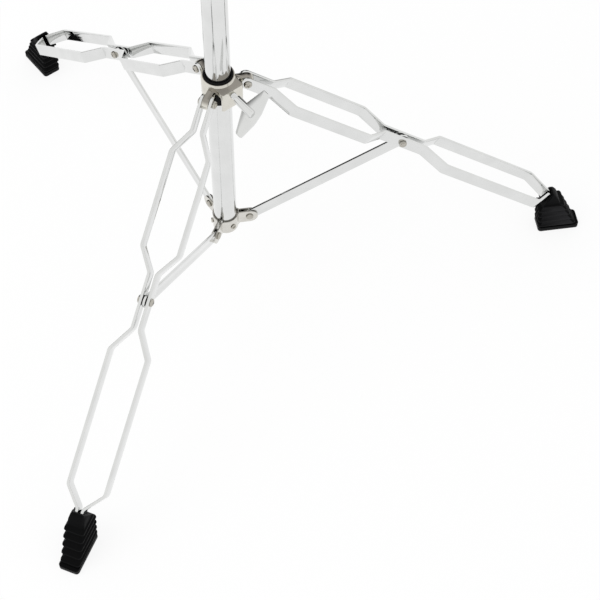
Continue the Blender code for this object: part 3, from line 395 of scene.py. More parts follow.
across = turned("X", 90)                        # lays a hole or a plate across the leg
toRight = across                                # turns a bolt's head to one side of the leg
toLeft = turned("X", -90)                       # and to the other
outward = turned("Y", 90)                       # lays a piece's z along x
wingSide = turned("Z", standAt["wings"])
sameSpot = 0.00001                              # closer than this counts as the same place


def drawLine(points):
    # a line of vertices, extruded one after another, left in edit mode
    bpy.ops.object.select_all(action="DESELECT")
    bpy.ops.mesh.primitive_plane_add(size=0.001)
    bpy.ops.object.mode_set(mode="EDIT")
    bpy.ops.mesh.select_mode(type="VERT")
    bpy.ops.mesh.merge(type="CENTER")
    bpy.ops.transform.translate(value=Vector(points[0]))
    for start, end in zip(points, points[1:]):
        bpy.ops.mesh.extrude_region_move(TRANSFORM_OT_translate={"value": Vector(end) - Vector(start)})
    bpy.ops.mesh.select_all(action="SELECT")
    return bpy.context.object


def closeUp():
    bpy.ops.mesh.select_all(action="SELECT")
    bpy.ops.mesh.remove_doubles(threshold=0.000005)
    bpy.ops.mesh.normals_make_consistent(inside=False)
    bpy.ops.object.mode_set(mode="OBJECT")


def turnOnLathe(profile, steps=48, ring=False):
    # profile points are (radius, height)
    line = [(radius, 0, height) for radius, height in profile]
    if ring:
        line.append(line[0])
    piece = drawLine(line)
    bpy.ops.mesh.spin(steps=steps, angle=2 * math.pi, center=(0, 0, 0), axis=(0, 0, 1))
    closeUp()
    return piece


def cutPlate(outline, low, high):
    piece = drawLine([(x, y, low) for x, y in outline])
    bpy.ops.mesh.edge_face_add()
    bpy.ops.mesh.extrude_region_move(TRANSFORM_OT_translate={"value": (0, 0, high - low)})
    closeUp()
    return piece


def stadium(start, end, radius, steps=10):
    # outline of a bar along x, round at its far end
    line = [(start, -radius)]
    for step in range(steps + 1):
        angle = math.pi * (step / steps - 0.5)
        line.append((end + radius * math.cos(angle), radius * math.sin(angle)))
    return line + [(start, radius)]


def applyModifier(piece, kind, **settings):
    bpy.context.view_layer.objects.active = piece
    modifier = piece.modifiers.new("step", kind)
    for key, value in settings.items():
        setattr(modifier, key, value)
    bpy.ops.object.modifier_apply(modifier=modifier.name)


def combine(piece, tool, operation="DIFFERENCE", place=None):
    if place is not None:
        tool.matrix_world = place
    applyModifier(piece, "BOOLEAN", operation=operation, solver="EXACT", object=tool)
    bpy.data.objects.remove(tool)


def drill(piece, place, radius, length, steps=32):
    # place carries the drill's middle and its z along the hole
    half = length / 2
    tool = turnOnLathe([(0, -half), (radius, -half), (radius, half), (0, half)], steps)
    combine(piece, tool, "DIFFERENCE", place)


def tidyUp(piece, flat=None):
    # merges the slivers that cuts leave, and flat neighbours too
    pickPiece(piece)
    bpy.ops.object.mode_set(mode="EDIT")
    bpy.ops.mesh.select_mode(type="VERT")
    bpy.ops.mesh.select_all(action="SELECT")
    bpy.ops.mesh.remove_doubles(threshold=0.00002)
    if flat:
        bpy.ops.mesh.dissolve_degenerate(threshold=0.00001)
        bpy.ops.mesh.dissolve_limited(angle_limit=math.radians(flat))
    closeUp()


def softenEdges(piece, width, segments=3, angle=35):
    applyModifier(piece, "BEVEL", width=width, segments=segments, limit_method="ANGLE",
                  angle_limit=math.radians(angle), miter_outer="MITER_ARC", use_clamp_overlap=True)


def softenCut(piece, width, segments=3, angle=30):
    # for pieces with many cuts
    tidyUp(piece, 0.5)
    softenEdges(piece, width, segments, angle)
    tidyUp(piece)


def pickEdges(piece, test):
    # edges whose two ends pass the test are selected, left in edit mode
    pickPiece(piece)
    bpy.ops.object.mode_set(mode="EDIT")
    bpy.ops.mesh.select_mode(type="EDGE")
    bpy.ops.mesh.select_all(action="DESELECT")
    bpy.ops.object.mode_set(mode="OBJECT")
    corners = piece.data.vertices
    for edge in piece.data.edges:
        edge.select = test(corners[edge.vertices[0]].co, corners[edge.vertices[1]].co)
    bpy.ops.object.mode_set(mode="EDIT")


def roundCorners(piece, test, radius, segments):
    pickEdges(piece, test)
    bpy.ops.mesh.bevel(offset=radius, segments=segments, affect="EDGES", clamp_overlap=False)
    closeUp()


def fitPiece(piece, name, place, body, slotName, paint, *nodes):
    # puts a finished piece where it belongs and hides the plain solid under it
    piece.name = name
    piece.data.name = name
    piece.data.materials.clear()
    piece.data.materials.append(paint)
    piece.matrix_world = place
    pickPiece(piece)
    bpy.ops.object.transform_apply(location=True, rotation=True, scale=True)
    bpy.ops.object.shade_smooth_by_angle(angle=math.radians(35))
    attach(piece, body)
    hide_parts(*nodes)


def copyOf(piece):
    twin = piece.copy()
    twin.data = piece.data.copy()
    scene.collection.objects.link(twin)
    return twin


def fitThree(piece, title, place, body, slotName, paint, node):
    # one copy for each leg; place, body and node take the leg's letter
    for letter, azimuth in standAt["legs"].items():
        fitPiece(copyOf(piece), title + letter.upper(), place(azimuth), body.format(letter), slotName,
                 paint, node.format(letter))
    bpy.data.objects.remove(piece)


# leg bars and struts

legBar = {
    "width": 0.0132,
    "thickness": 0.0030,
    "bend": 0.0070,
    "bendSteps": 7,
    "path": [(-0.0080, 0.0052), (0.0305, 0.0052), (0.0547, 0.0196), (0.1527, 0.0196),
             (0.1762, 0.00405), (0.2343, 0.00405), (0.2608, 0.0203), (0.4035, 0.0203),
             (0.4240, 0.0030), (0.4420, 0.0030)],   # along the leg, and out from its middle
    "hole": 0.0028,
    "edge": 0.0005,
}
strutBar = {"width": 0.0140, "thickness": 0.0026, "footHole": 0.0028, "eye": 0.0035, "edge": 0.0004}


def bendBar(points, width, thickness, bend=0.0, bendSteps=1):
    # a flat section pushed along its path and spun round each bend
    points = [Vector((x, y, 0)) for x, y in points]
    bpy.ops.object.select_all(action="DESELECT")
    bpy.ops.mesh.primitive_plane_add(size=1, location=points[0], rotation=(0, math.pi / 2, 0))
    piece = bpy.context.object
    piece.scale = (width, thickness, 1)
    bpy.ops.object.transform_apply(location=True, rotation=True, scale=True)
    bpy.ops.object.mode_set(mode="EDIT")
    bpy.ops.mesh.select_all(action="SELECT")
    here = points[0]
    for before, corner, after in zip(points, points[1:], points[2:]):
        back = (before - corner).normalized()
        ahead = (after - corner).normalized()
        half = back.angle(ahead) / 2
        trim = bend / math.tan(half)
        middle = corner + (back + ahead).normalized() * bend / math.sin(half)
        sweep = math.pi - 2 * half
        if back.cross(ahead).z < 0:
            sweep = -sweep
        bpy.ops.mesh.extrude_region_move(TRANSFORM_OT_translate={"value": corner + back * trim - here})
        bpy.ops.mesh.spin(steps=bendSteps, angle=sweep, center=middle, axis=(0, 0, 1))
        here = corner + ahead * trim
    bpy.ops.mesh.extrude_region_move(TRANSFORM_OT_translate={"value": points[-1] - here})
    closeUp()
    return piece


def roundEnds(piece, ends, halfWidth):
    for end in ends:
        roundCorners(piece, lambda a, b: max(abs(a.x - end), abs(b.x - end), abs(a.z - b.z)) < sameSpot,
                     halfWidth * 0.992, 8)


for hand, side in (("Left", 1), ("Right", -1)):
    bar = bendBar([(x, side * y) for x, y in legBar["path"]], legBar["width"], legBar["thickness"],
                  legBar["bend"], legBar["bendSteps"])
    roundEnds(bar, (legBar["path"][0][0], legBar["path"][-1][0]), legBar["width"] / 2)
    for spot in (0, standAt["middlePivot"]):
        drill(bar, moved(spot, 0, 0) @ across, legBar["hole"], 0.03)
    softenEdges(bar, legBar["edge"])
    fitThree(bar, "legBar" + hand, legPlace, "leg_{}", "chrome", brightChrome,
             "leg_bar_{}_" + hand.lower())

strutEnd = strutBar["width"] / 2
strut = bendBar([(-strutEnd, 0), (strutLength + strutEnd, 0)], strutBar["width"], strutBar["thickness"])
roundEnds(strut, (-strutEnd, strutLength + strutEnd), strutEnd)
drill(strut, across, strutBar["footHole"], 0.02)
drill(strut, moved(strutLength, 0, 0) @ across, strutBar["eye"], 0.02)
softenEdges(strut, strutBar["edge"])
fitThree(strut, "strutBar", lambda azimuth: strutFoot(azimuth, -strutSlope), "strut_{}", "chrome",
         brightChrome, "strut_{}")
print("leg bars and struts bent")

# tubes

tubes = {
    "baseTube": {"radius": 0.0127, "wall": 0.0015, "low": 0.0760, "high": 0.588,
                 "body": "base", "node": "base_tube"},
    "middleTube": {"radius": 0.00955, "wall": 0.0012, "low": 0.290, "high": 0.800,
                   "body": "middle", "node": "middle_tube"},
    "upperTube": {"radius": 0.00635, "wall": 0.0010, "low": 0.560, "high": 1.030,
                  "body": "upper", "node": "upper_tube"},
}
tubeLip = 0.0004
rivetSpot = {"height": 0.0820, "hole": 0.0023, "drill": 0.008}


def rollTube(size):
    outer, inner = size["radius"], size["radius"] - size["wall"]
    low, high = size["low"], size["high"]
    profile = [(outer - tubeLip, high), (outer, high - tubeLip),
               (outer, low + tubeLip), (outer - tubeLip, low),
               (inner + tubeLip, low), (inner, low + tubeLip),
               (inner, high - tubeLip), (inner + tubeLip, high)]
    return turnOnLathe(profile, 96, ring=True)


for title, size in tubes.items():
    tube = rollTube(size)
    if title == "baseTube":
        for azimuth in standAt["plates"].values():
            spot = turned("Z", azimuth) @ moved(size["radius"], 0, rivetSpot["height"])
            drill(tube, spot @ outward, rivetSpot["hole"], rivetSpot["drill"], 20)
        tidyUp(tube)
    fitPiece(tube, title, placeAt(0), size["body"], "chrome", brightChrome, size["node"])
print("tubes rolled")

# collar: casting, bush, bolts

casting = {
    "radius": 0.0173,
    "top": 0.0129,
    "bottom": -0.0130,
    "shoulder": 0.0027,
    "rim": 0.0012,
    "bore": 0.0153,
    "lug": 0.0068,
    "lugHalf": 0.0034,
    "bossFace": 0.0245,
    "bossHalf": 0.0130,
    "bossTop": 0.0102,
    "bossCorner": 0.0015,
    "webReach": 0.0174,
    "webTop": 0.0070,
    "archWidth": 0.0075,
    "archTop": 0.0060,
    "archShift": 0.00275,
    "screwUp": 0.0030,
    "screwHole": 0.0033,
    "pinHole": 0.0028,
    "edge": 0.0005,
}
bush = {"inner": 0.0130, "outer": 0.0149, "flange": 0.0151, "low": -0.0180, "top": 0.0129, "high": 0.0142}


def addBoss(piece, face, half, corner, low, high):
    # block with a flat face for the wing screw
    boss = cutPlate([(0, -half), (face - corner, -half), (face, -half + corner), (face, half - corner),
                     (face - corner, half), (0, half)], low, high)
    combine(piece, boss, "UNION", wingSide)


def castCollar(size):
    radius, top, bottom = size["radius"], size["top"], size["bottom"]
    piece = turnOnLathe([(0, top), (radius - size["rim"], top), (radius, top - size["shoulder"]),
                         (radius, bottom + size["rim"]), (radius - size["rim"], bottom), (0, bottom)], 72)
    for azimuth in standAt["legs"].values():
        lug = cutPlate(stadium(0, standAt["legRadius"], size["lug"], 14), -size["lugHalf"], size["lugHalf"])
        combine(piece, lug, "UNION", turned("Z", azimuth) @ across)
    face, half, corner = size["bossFace"], size["bossHalf"], size["bossCorner"]
    addBoss(piece, face, half, corner, bottom, size["bossTop"])
    rootX, rootY = size["webReach"] * 0.5, size["webReach"] * math.sin(math.radians(60))
    webOut = face - 2 * corner
    webs = cutPlate([(0, 0), (rootX, -rootY), (webOut, -half), (webOut, half), (rootX, rootY)],
                    -size["lug"], size["webTop"])
    combine(piece, webs, "UNION", wingSide)
    drill(piece, Matrix.Identity(4), size["bore"], 0.08, 72)
    drill(piece, wingSide @ moved(face, 0, size["screwUp"]) @ outward, size["screwHole"], face * 1.6)
    for side in (-1, 1):
        bearing = turned("Z", standAt["wings"] + side * 45) @ moved(0, -side * size["archShift"], 0)
        archHalf = size["archWidth"] / 2
        arch = cutPlate(stadium(2 * bottom, size["archTop"] - archHalf, archHalf, 14),
                        -face - half, -size["bore"] * 0.87)
        combine(piece, arch, "DIFFERENCE", bearing @ turned("Y", -90))
    for azimuth in standAt["legs"].values():
        lugPlace = turned("Z", azimuth) @ moved(standAt["legRadius"], 0, 0)
        drill(piece, lugPlace @ across, size["pinHole"], 0.02)
    softenCut(piece, size["edge"])
    return piece


def nylonBush(inner, outer, flange, low, top, high):
    # sleeve with a flange that lies on the casting
    soft = 0.0003
    return turnOnLathe([(inner + soft, high), (flange - soft, high), (flange, high - soft),
                        (flange, top), (outer, top), (outer, low + soft), (outer - soft, low),
                        (inner, low), (inner, high - soft)], 72, ring=True)


collarPlace = placeAt(0, 0, standAt["collar"])
fitPiece(castCollar(casting), "collarCasting", collarPlace, "collar", "nickel", satinCasting, "collar")
fitPiece(nylonBush(**bush), "collarBush", collarPlace, "collar", "black_plastic", blackNylon, "collar_bush")
print("collar cast")

# screws, nuts, pins and rivets

fastener = {
    "shank": 0.0025,
    "chamfer": 0.0004,
    "head": 0.0042,
    "height": 0.0022,
    "dome": [(0, 0), (0.40, 0.00006), (0.70, 0.0003), (0.90, 0.0008), (1, 0.0014)],   # share, drop
    "recess": {"half": 0.0022, "width": 0.0004, "depth": 0.0012, "turns": (20, 110)},
    "grip": 0.0067,
    "gap": 0.0003,
    "tail": 0.0008,
}
# along each bolt, from the leg's middle
middleBolt = {"face": 0.00585, "tail": 0.00285, "nutTop": 0.00805, "stubEdge": 0.0083, "stubTop": 0.0087,
              "stubTip": 0.0021}
strutPin = {"face": 0.0032, "tail": -0.0030}


def panHead(face, tail, recess=True):
    # round head over the face, shank down to the tail, cross recess in the head
    head, shank, chamfer = fastener["head"], fastener["shank"], fastener["chamfer"]
    crown = face + fastener["height"]
    profile = [(head * share, crown - drop) for share, drop in fastener["dome"]]
    profile += [(head, face), (shank, face), (shank, tail + chamfer), (shank - chamfer, tail), (0, tail)]
    piece = turnOnLathe(profile, 40)
    if recess:
        half, width = fastener["recess"]["half"], fastener["recess"]["width"]
        for angle in fastener["recess"]["turns"]:
            slit = cutPlate([(-half, -width), (half, -width), (half, width), (-half, width)], 0, 0.004)
            bottom = moved(0, 0, crown - fastener["recess"]["depth"])
            combine(piece, slit, "DIFFERENCE", turned("Z", angle) @ bottom)
    return piece


def hexNut(low, high):
    # six-sided nut with its corners chamfered round
    radius = fastener["head"]
    piece = turnOnLathe([(0, low), (radius, low), (radius, high), (0, high)], 6)
    spare, slope = 0.001, 0.0005
    small, wide = radius * 0.88, radius * 1.04
    cone = turnOnLathe([(0, low - spare), (small, low - spare), (small, low), (wide, low + slope),
                        (wide, high - slope), (small, high), (small, high + spare), (0, high + spare)], 48)
    combine(piece, cone, "INTERSECT")
    return piece


grip = fastener["grip"] + fastener["gap"]
for letter, azimuth in standAt["legs"].items():
    bolt = panHead(grip, -grip - fastener["height"] - fastener["tail"])
    combine(bolt, hexNut(-grip - fastener["height"], -grip), "UNION")
    tidyUp(bolt)
    boltPlace = placeAt(azimuth, standAt["legRadius"], standAt["collar"])
    fitPiece(bolt, "collarBolt" + letter.upper(), boltPlace @ (toLeft if letter == "c" else toRight),
             "collar", "chrome", platedBolt, "collar_bolt_" + letter)

middleSpot = moved(standAt["middlePivot"], 0, 0)
fitThree(panHead(middleBolt["face"], middleBolt["tail"]), "middleScrew",
         lambda azimuth: legPlace(azimuth) @ middleSpot @ toLeft,
         "leg_{}", "chrome", platedBolt, "middle_screw_{}")
nut = hexNut(middleBolt["face"], middleBolt["nutTop"])
stubLine = [(0, middleBolt["tail"]), (fastener["shank"], middleBolt["tail"]),
            (fastener["shank"], middleBolt["stubEdge"]), (middleBolt["stubTip"], middleBolt["stubTop"]),
            (0, middleBolt["stubTop"])]
combine(nut, turnOnLathe(stubLine, 32), "UNION")
tidyUp(nut)
fitThree(nut, "middleNut", lambda azimuth: legPlace(azimuth) @ middleSpot @ toRight,
         "leg_{}", "chrome", platedBolt, "middle_nut_{}")

pin = panHead(strutPin["face"], strutPin["tail"], recess=False)
peenedLine = [(0, -0.0054), (0.0025, -0.0052), (0.0039, -0.0044), (0.0042, -0.0032), (0, -0.0032)]
combine(pin, turnOnLathe(peenedLine, 40), "UNION")
fitThree(pin, "strutPin", lambda azimuth: strutFoot(azimuth) @ toLeft,
         "base", "chrome", platedBolt, "strut_pin_{}")

# tubular rivet, its rolled edge round a dark middle, with heights from the tube's axis
rivetLine = [(0, 0.0128), (0.0011, 0.0128), (0.0012, 0.0152), (0.0017, 0.0160), (0.0024, 0.0161),
             (0.0030, 0.0155), (0.0032, 0.01465), (0.0020, 0.0146), (0.0020, 0.0106), (0.0032, 0.0102),
             (0.0030, 0.0098), (0, 0.0098)]
for pair, azimuth in standAt["plates"].items():
    fitPiece(turnOnLathe(rivetLine, 40), "bracketRivet" + pair.upper(),
             placeAt(azimuth, 0, rivetSpot["height"]) @ outward,
             "base", "nickel", platedBolt, "bracket_rivet_" + pair)
print("fasteners in place")

# bottom bracket plates

bracket = {
    "sheet": 0.0013,
    "wrap": 0.01365,                        # middle of the sheet, from the tube's axis
    "earOffset": 0.00225,
    "earReach": 0.0360,
    "earHalf": 0.0090,
    "lobe": 0.0110,
    "lobeAngle": 36.0,
    "bendRadius": 0.0018,
    "bendAngle": 9.0,
    "pinHole": 0.0028,
    "edge": 0.0003,
}


def earPoint(side, radius):
    direction = Vector((0.5, side * math.sin(math.radians(60)), 0))
    inward = Vector((direction.y, -direction.x, 0)) * side
    return direction * radius + inward * bracket["earOffset"]


def pressPlate():
    wrap, half = bracket["wrap"], bracket["earHalf"]
    root = math.sqrt(wrap ** 2 - bracket["earOffset"] ** 2)
    corner = math.radians(60) - math.asin(bracket["earOffset"] / wrap)
    bendStart = corner - math.radians(bracket["bendAngle"])
    line = [earPoint(-1, bracket["earReach"]), earPoint(-1, root + bracket["bendRadius"])]
    for step in range(17):
        angle = bendStart * (step / 8 - 1)
        line.append(Vector((wrap * math.cos(angle), wrap * math.sin(angle), 0)))
    line += [earPoint(1, root + bracket["bendRadius"]), earPoint(1, bracket["earReach"])]
    piece = drawLine([(p.x, p.y, -half) for p in line])
    bpy.ops.mesh.extrude_region_move(TRANSFORM_OT_translate={"value": (0, 0, 2 * half)})
    bpy.ops.object.mode_set(mode="OBJECT")
    lobeEdge = math.radians(bracket["lobeAngle"])
    for spot in piece.data.vertices:                   # the lower edge dips into a lobe
        bearing = abs(math.atan2(spot.co.y, spot.co.x))
        if spot.co.z < 0 and spot.co.to_2d().length < wrap * 1.02:
            share = min(1.0, max(0.0, (corner - bearing) / (corner - lobeEdge)))
            spot.co.z -= (bracket["lobe"] - half) * math.sin(share * math.pi / 2)
    applyModifier(piece, "SOLIDIFY", thickness=bracket["sheet"], offset=0, use_even_offset=True)
    bpy.context.view_layer.objects.active = piece
    bpy.ops.object.mode_set(mode="EDIT")
    closeUp()
    reach = bracket["earReach"] - 0.0005
    roundCorners(piece, lambda a, b: min(a.to_2d().length, b.to_2d().length) > reach
                 and abs(a.z - b.z) < sameSpot, half * 0.985, 8)
    for side in (-1, 1):
        bearing = turned("Z", side * 60) @ moved(standAt["strutRadius"], 0, 0) @ across
        drill(piece, bearing, bracket["pinHole"], 0.009)
    rivetHole = moved(wrap, 0, rivetSpot["height"] - standAt["bracket"]) @ outward
    drill(piece, rivetHole, rivetSpot["hole"], 0.006)
    softenCut(piece, bracket["edge"], 2, 40)
    return piece


plate = pressPlate()
for pair, azimuth in standAt["plates"].items():
    fitPiece(copyOf(plate), "bracketPlate" + pair.upper(), placeAt(azimuth, 0, standAt["bracket"]),
             "base", "nickel", pressedSheet, "bracket_plate_" + pair)
bpy.data.objects.remove(plate)
print("bracket pressed")

# wing screws and clamps

wingShape = {"hub": 0.0270, "hubIn": 0.0044, "hubOut": 0.0047, "thick": 0.0024, "span": 0.0265,
             "corner": 0.0018, "turn": 47.0, "thread": 0.0010, "depth": 0.00035, "tip": 0.0022,
             "shank": 0.0030, "show": 0.0060}
# height above the floor; tip and casting's face from the tubes' axis
wingScrews = {
    "collar": {"height": 0.311, "tip": 0.0153, "face": 0.0245},
    "lower": {"height": 0.600, "tip": 0.01175, "face": 0.0247},
    "upper": {"height": 0.812, "tip": 0.00855, "face": 0.02155},
}
clampShape = {
    "wall": 0.0040,
    "top": 0.0240,
    "bottom": -0.0280,
    "rim": 0.0012,
    "bossReach": 0.0080,
    "bossHalf": 0.0090,
    "bossCorner": 0.0015,
    "bossUp": 0.0120,
    "gap": 0.0003,
    "screwHole": 0.0033,
    "edge": 0.0007,
}
lowerBush = 0.01145                             # outer radius of the bush in each clamp
upperBush = 0.00825


def threadLine(radius, start, end):
    # zigzag outline of a screw thread up to the end
    line = []
    ridge = start
    while ridge + wingShape["thread"] <= end:
        line += [(radius - wingShape["depth"], ridge), (radius, ridge + wingShape["thread"] / 2)]
        ridge += wingShape["thread"]
    return line + [(radius - wingShape["depth"], ridge)]


def wingLine(start, end, hub, span):
    depth = end - start
    return [(start, hub), (start + depth * 0.45, span * 0.90), (start + depth * 0.62, span),
            (end - depth * 0.10, span), (end + depth * 0.08, span * 0.93), (end - depth * 0.08, hub)]


def broadLine(start, end, hub, span):
    # both wings of a screw in one plate, which bulges past the hub
    depth = end - start
    line = [(start, hub), (start + depth * 0.60, span), (end + depth * 0.14, span),
            (end + depth * 0.42, span * 0.25)]
    return line + [(x, -y) for x, y in reversed(line)]


def castWing(piece, line, span, thick):
    # a plate on edge, set into the hub
    wing = cutPlate(line, -thick / 2, thick / 2)
    roundCorners(wing, lambda a, b: abs(abs(a.z - b.z) - thick) < 1e-6 and abs(a.y) > span * 0.85,
                 wingShape["corner"], 4)
    softenEdges(wing, thick * 0.36, 3, 60)
    combine(piece, wing, "UNION", turned("Y", -90))


def wingScrew(tip, face):
    start = face + wingShape["show"] - tip
    end = start + wingShape["hub"]
    small, tall, shank = wingShape["hubIn"], wingShape["hubOut"], wingShape["shank"]
    profile = [(0, 0), (wingShape["tip"], 0)] + threadLine(shank, 0.0005, start)
    profile += [(shank, start), (small - 0.0004, start), (small, start + 0.0004), (tall, end - 0.0022),
                (tall - 0.0004, end - 0.0010), (tall - 0.0014, end - 0.0002), (0, end)]
    piece = turnOnLathe(profile, 40)
    line = broadLine(start + wingShape["hub"] * 0.42, end, small / 2, wingShape["span"])
    castWing(piece, line, wingShape["span"], wingShape["thick"])
    return piece


def castClamp(outer, bushRadius):
    # casting round two tubes, its boss drilled for the wing screw; z is the lower tube's end
    size = clampShape
    radius, top, bottom, rim = outer + size["wall"], size["top"], size["bottom"], size["rim"]
    piece = turnOnLathe([(0, top), (radius - rim, top), (radius, top - rim), (radius, bottom + rim),
                         (radius - rim, bottom), (0, bottom)], 72)
    face, half, up, gap = radius + size["bossReach"], size["bossHalf"], size["bossUp"], size["gap"]
    addBoss(piece, face, half, size["bossCorner"], up - half, up + half)
    drill(piece, moved(0, 0, bottom), outer + gap, 2 * (gap - bottom), 72)
    drill(piece, moved(0, 0, top), bushRadius + gap, 4 * top, 72)
    drill(piece, wingSide @ moved(face, 0, up) @ outward, size["screwHole"], face * 1.6)
    softenCut(piece, size["edge"])
    return piece


for where, size in wingScrews.items():
    wingPlace = placeAt(standAt["wings"], size["tip"], size["height"]) @ outward
    fitPiece(wingScrew(size["tip"], size["face"]), where + "WingScrew",
             wingPlace @ turned("Z", wingShape["turn"]),
             where + "_wing", "chrome", brightChrome, where + "_wing_screw")
fitPiece(castClamp(tubes["baseTube"]["radius"], lowerBush), "lowerClampCasting",
         placeAt(0, 0, standAt["lowerTop"]), "base", "nickel", satinCasting, "lower_clamp")
fitPiece(castClamp(tubes["middleTube"]["radius"], upperBush), "upperClampCasting",
         placeAt(0, 0, standAt["middleTop"]), "middle", "nickel", satinCasting, "upper_clamp")
print("wing screws and clamps cast")

# feet

boot = {
    "inner": 0.369027,
    "outer": 0.417427,
    "half": 0.0112,
    "corner": 0.0035,
    "heelLean": 0.13,
    "toeLean": 0.50,
    "sole": 0.0062,                         # plain band under the ribs
    "lips": [0.0086, 0.0180, 0.0274, 0.0368, 0.0462],   # lower edges of the ribs
    "ledge": 0.0040,                        # how far each lip stands out
    "lipHeight": 0.0012,
    "lipSlope": 0.0050,
    "innerTop": 0.364027,
    "neck": [(0.0488, 0.3890, 0.0096), (0.0556, 0.3862, 0.0091), (0.0602, 0.3826, 0.0080),
             (0.06245, 0.3795, 0.0064)],    # height, outer side, half width
    "mouth": 0.4280,                        # along the leg
    "pocketHalf": 0.0048,
    "gap": 0.0003,
    "edge": 0.0004,
}


def bootLevel(height, inset):
    near = max(boot["innerTop"], boot["inner"] - height * boot["heelLean"])
    far = boot["outer"] - boot["toeLean"] * height
    return (height, near + inset, far - inset, boot["half"] - inset)


def bootLevels():
    # (height, inner side, outer side, half width) from the sole up
    ledge = boot["ledge"]
    levels = [bootLevel(boot["sole"], 0.0002), bootLevel(boot["sole"] + 0.0008, ledge)]
    for lip in boot["lips"]:
        levels += [bootLevel(lip, ledge), bootLevel(lip, 0.0), bootLevel(lip + boot["lipHeight"], 0.0001)]
        if lip != boot["lips"][-1]:
            levels.append(bootLevel(lip + boot["lipSlope"], ledge))
    for height, far, half in boot["neck"]:
        levels.append((height, boot["innerTop"], far, half))
    return levels


def mouldBoot():
    levels = bootLevels()
    near, far, half = boot["inner"], boot["outer"], boot["half"]
    bpy.ops.object.select_all(action="DESELECT")
    bpy.ops.mesh.primitive_cube_add(size=1, location=((near + far) / 2, 0, boot["sole"] / 2))
    piece = bpy.context.object
    piece.scale = (far - near, 2 * half, boot["sole"])
    bpy.ops.object.transform_apply(location=True, rotation=True, scale=True)
    roundCorners(piece, lambda a, b: abs(a.z - b.z) > 0.002, boot["corner"], 5)
    piece.data.update()
    bpy.ops.object.mode_set(mode="EDIT")
    bpy.ops.mesh.select_mode(type="FACE")
    bpy.ops.mesh.select_all(action="DESELECT")
    bpy.ops.object.mode_set(mode="OBJECT")
    for face in piece.data.polygons:
        face.select = face.normal.z > 0.9
    bpy.ops.object.mode_set(mode="EDIT")
    was = (boot["sole"], near, far, half)
    for level in levels:
        height, near, far, half = level
        middle = (near + far) / 2
        bpy.ops.mesh.extrude_region_move(
            TRANSFORM_OT_translate={"value": (middle - (was[1] + was[2]) / 2, 0, height - was[0])})
        bpy.ops.transform.resize(value=((far - near) / (was[2] - was[1]), half / was[3], 1),
                                 center_override=(middle, 0, height))
        was = level
    closeUp()
    mouthAt = Vector((standAt["legRadius"] + boot["mouth"] * math.cos(legSlope), 0,
                      standAt["collar"] - boot["mouth"] * math.sin(legSlope)))
    bpy.ops.object.mode_set(mode="EDIT")
    bpy.ops.mesh.select_all(action="SELECT")
    bpy.ops.mesh.bisect(plane_co=mouthAt, plane_no=(math.cos(legSlope), 0, -math.sin(legSlope)),
                        use_fill=True, clear_inner=True)
    closeUp()
    pocket = cutPlate(stadium(boot["mouth"] - 0.01, standAt["barEnd"] - legBar["width"] / 2,
                              legBar["width"] / 2 + boot["gap"]), -boot["pocketHalf"], boot["pocketHalf"])
    lying = moved(standAt["legRadius"], 0, standAt["collar"]) @ Matrix.Rotation(legSlope, 4, "Y") @ across
    combine(piece, pocket, "DIFFERENCE", lying)
    softenEdges(piece, boot["edge"], 3, 25)
    return piece


fitThree(mouldBoot(), "rubberBoot", placeAt, "leg_{}", "rubber", mouldedRubber, "foot_{}")
print("boots moulded")

# tilter and cymbal seat

tiltPlace = placeAt(0, 0, standAt["tilt"])
tilter = {
    "disc": 0.0120,
    "near": 0.00015,                        # faces of the two discs, from the joint's middle
    "far": 0.00765,
    "sleeve": 0.00965,
    "sleeveTop": -0.0150,
    "sleeveEnd": -0.0410,
    "neckHalf": 0.0078,
    "neckEnd": -0.0200,
    "tubeBore": 0.00665,
    "socket": 0.0078,
    "socketTop": 0.0300,
    "socketEnd": 0.0135,
    "stemHalf": 0.00741,
    "stemTop": 0.0165,
    "rodBore": 0.0043,
    "boltHole": 0.0033,
    "rim": 0.0010,
    "edge": 0.0005,
}
nutShape = {"outer": 0.0070, "gap": 0.0003, "soft": 0.0003, "height": 0.0130, "span": 0.0200, "thick": 0.0024}
# screw radii, and how far along its screw each wing nut sits from the joint
boltRadius = 0.0030
rodRadius = 0.0040
boltNutUp = 0.00795
rodNutUp = 0.0612


def tilterDisc(near, far):
    rim = tilter["rim"]
    return turnOnLathe([(0, far), (tilter["disc"] - rim, far), (tilter["disc"], far - rim),
                        (tilter["disc"], near), (0, near)], 64)


def blockBetween(low, high):
    return cutPlate([(low[0], low[1]), (high[0], low[1]), (high[0], high[1]), (low[0], high[1])],
                    low[2], high[2])


def castTilterBase():
    sleeve, top, end, rim = tilter["sleeve"], tilter["sleeveTop"], tilter["sleeveEnd"], tilter["rim"]
    near, far, half = -tilter["near"], -tilter["far"], tilter["neckHalf"]
    piece = turnOnLathe([(0, top), (sleeve - 2 * rim, top), (sleeve, top - 4 * rim), (sleeve, end),
                         (0, end)], 64)
    combine(piece, blockBetween((far, -half, tilter["neckEnd"]), (near, half, 0)), "UNION")
    combine(piece, tilterDisc(far, near), "UNION", outward)
    drill(piece, moved(0, 0, end), tilter["tubeBore"], 0.0406, 64)
    drill(piece, outward, tilter["boltHole"], 0.03)
    softenCut(piece, tilter["edge"])
    return piece


def castTilterHead():
    socket, top, end, rim = tilter["socket"], tilter["socketTop"], tilter["socketEnd"], tilter["rim"]
    near, far, half = tilter["near"], tilter["far"], tilter["stemHalf"]
    piece = turnOnLathe([(0, top), (socket - rim, top), (socket, top - rim), (socket, end), (0, end)], 64)
    combine(piece, blockBetween((near, -half, 0), (far, half, tilter["stemTop"])), "UNION")
    combine(piece, tilterDisc(near, far), "UNION", outward)
    drill(piece, moved(0, 0, top), tilter["rodBore"], 0.0246, 40)
    drill(piece, outward, tilter["boltHole"], 0.03)
    softenCut(piece, tilter["edge"])
    return piece


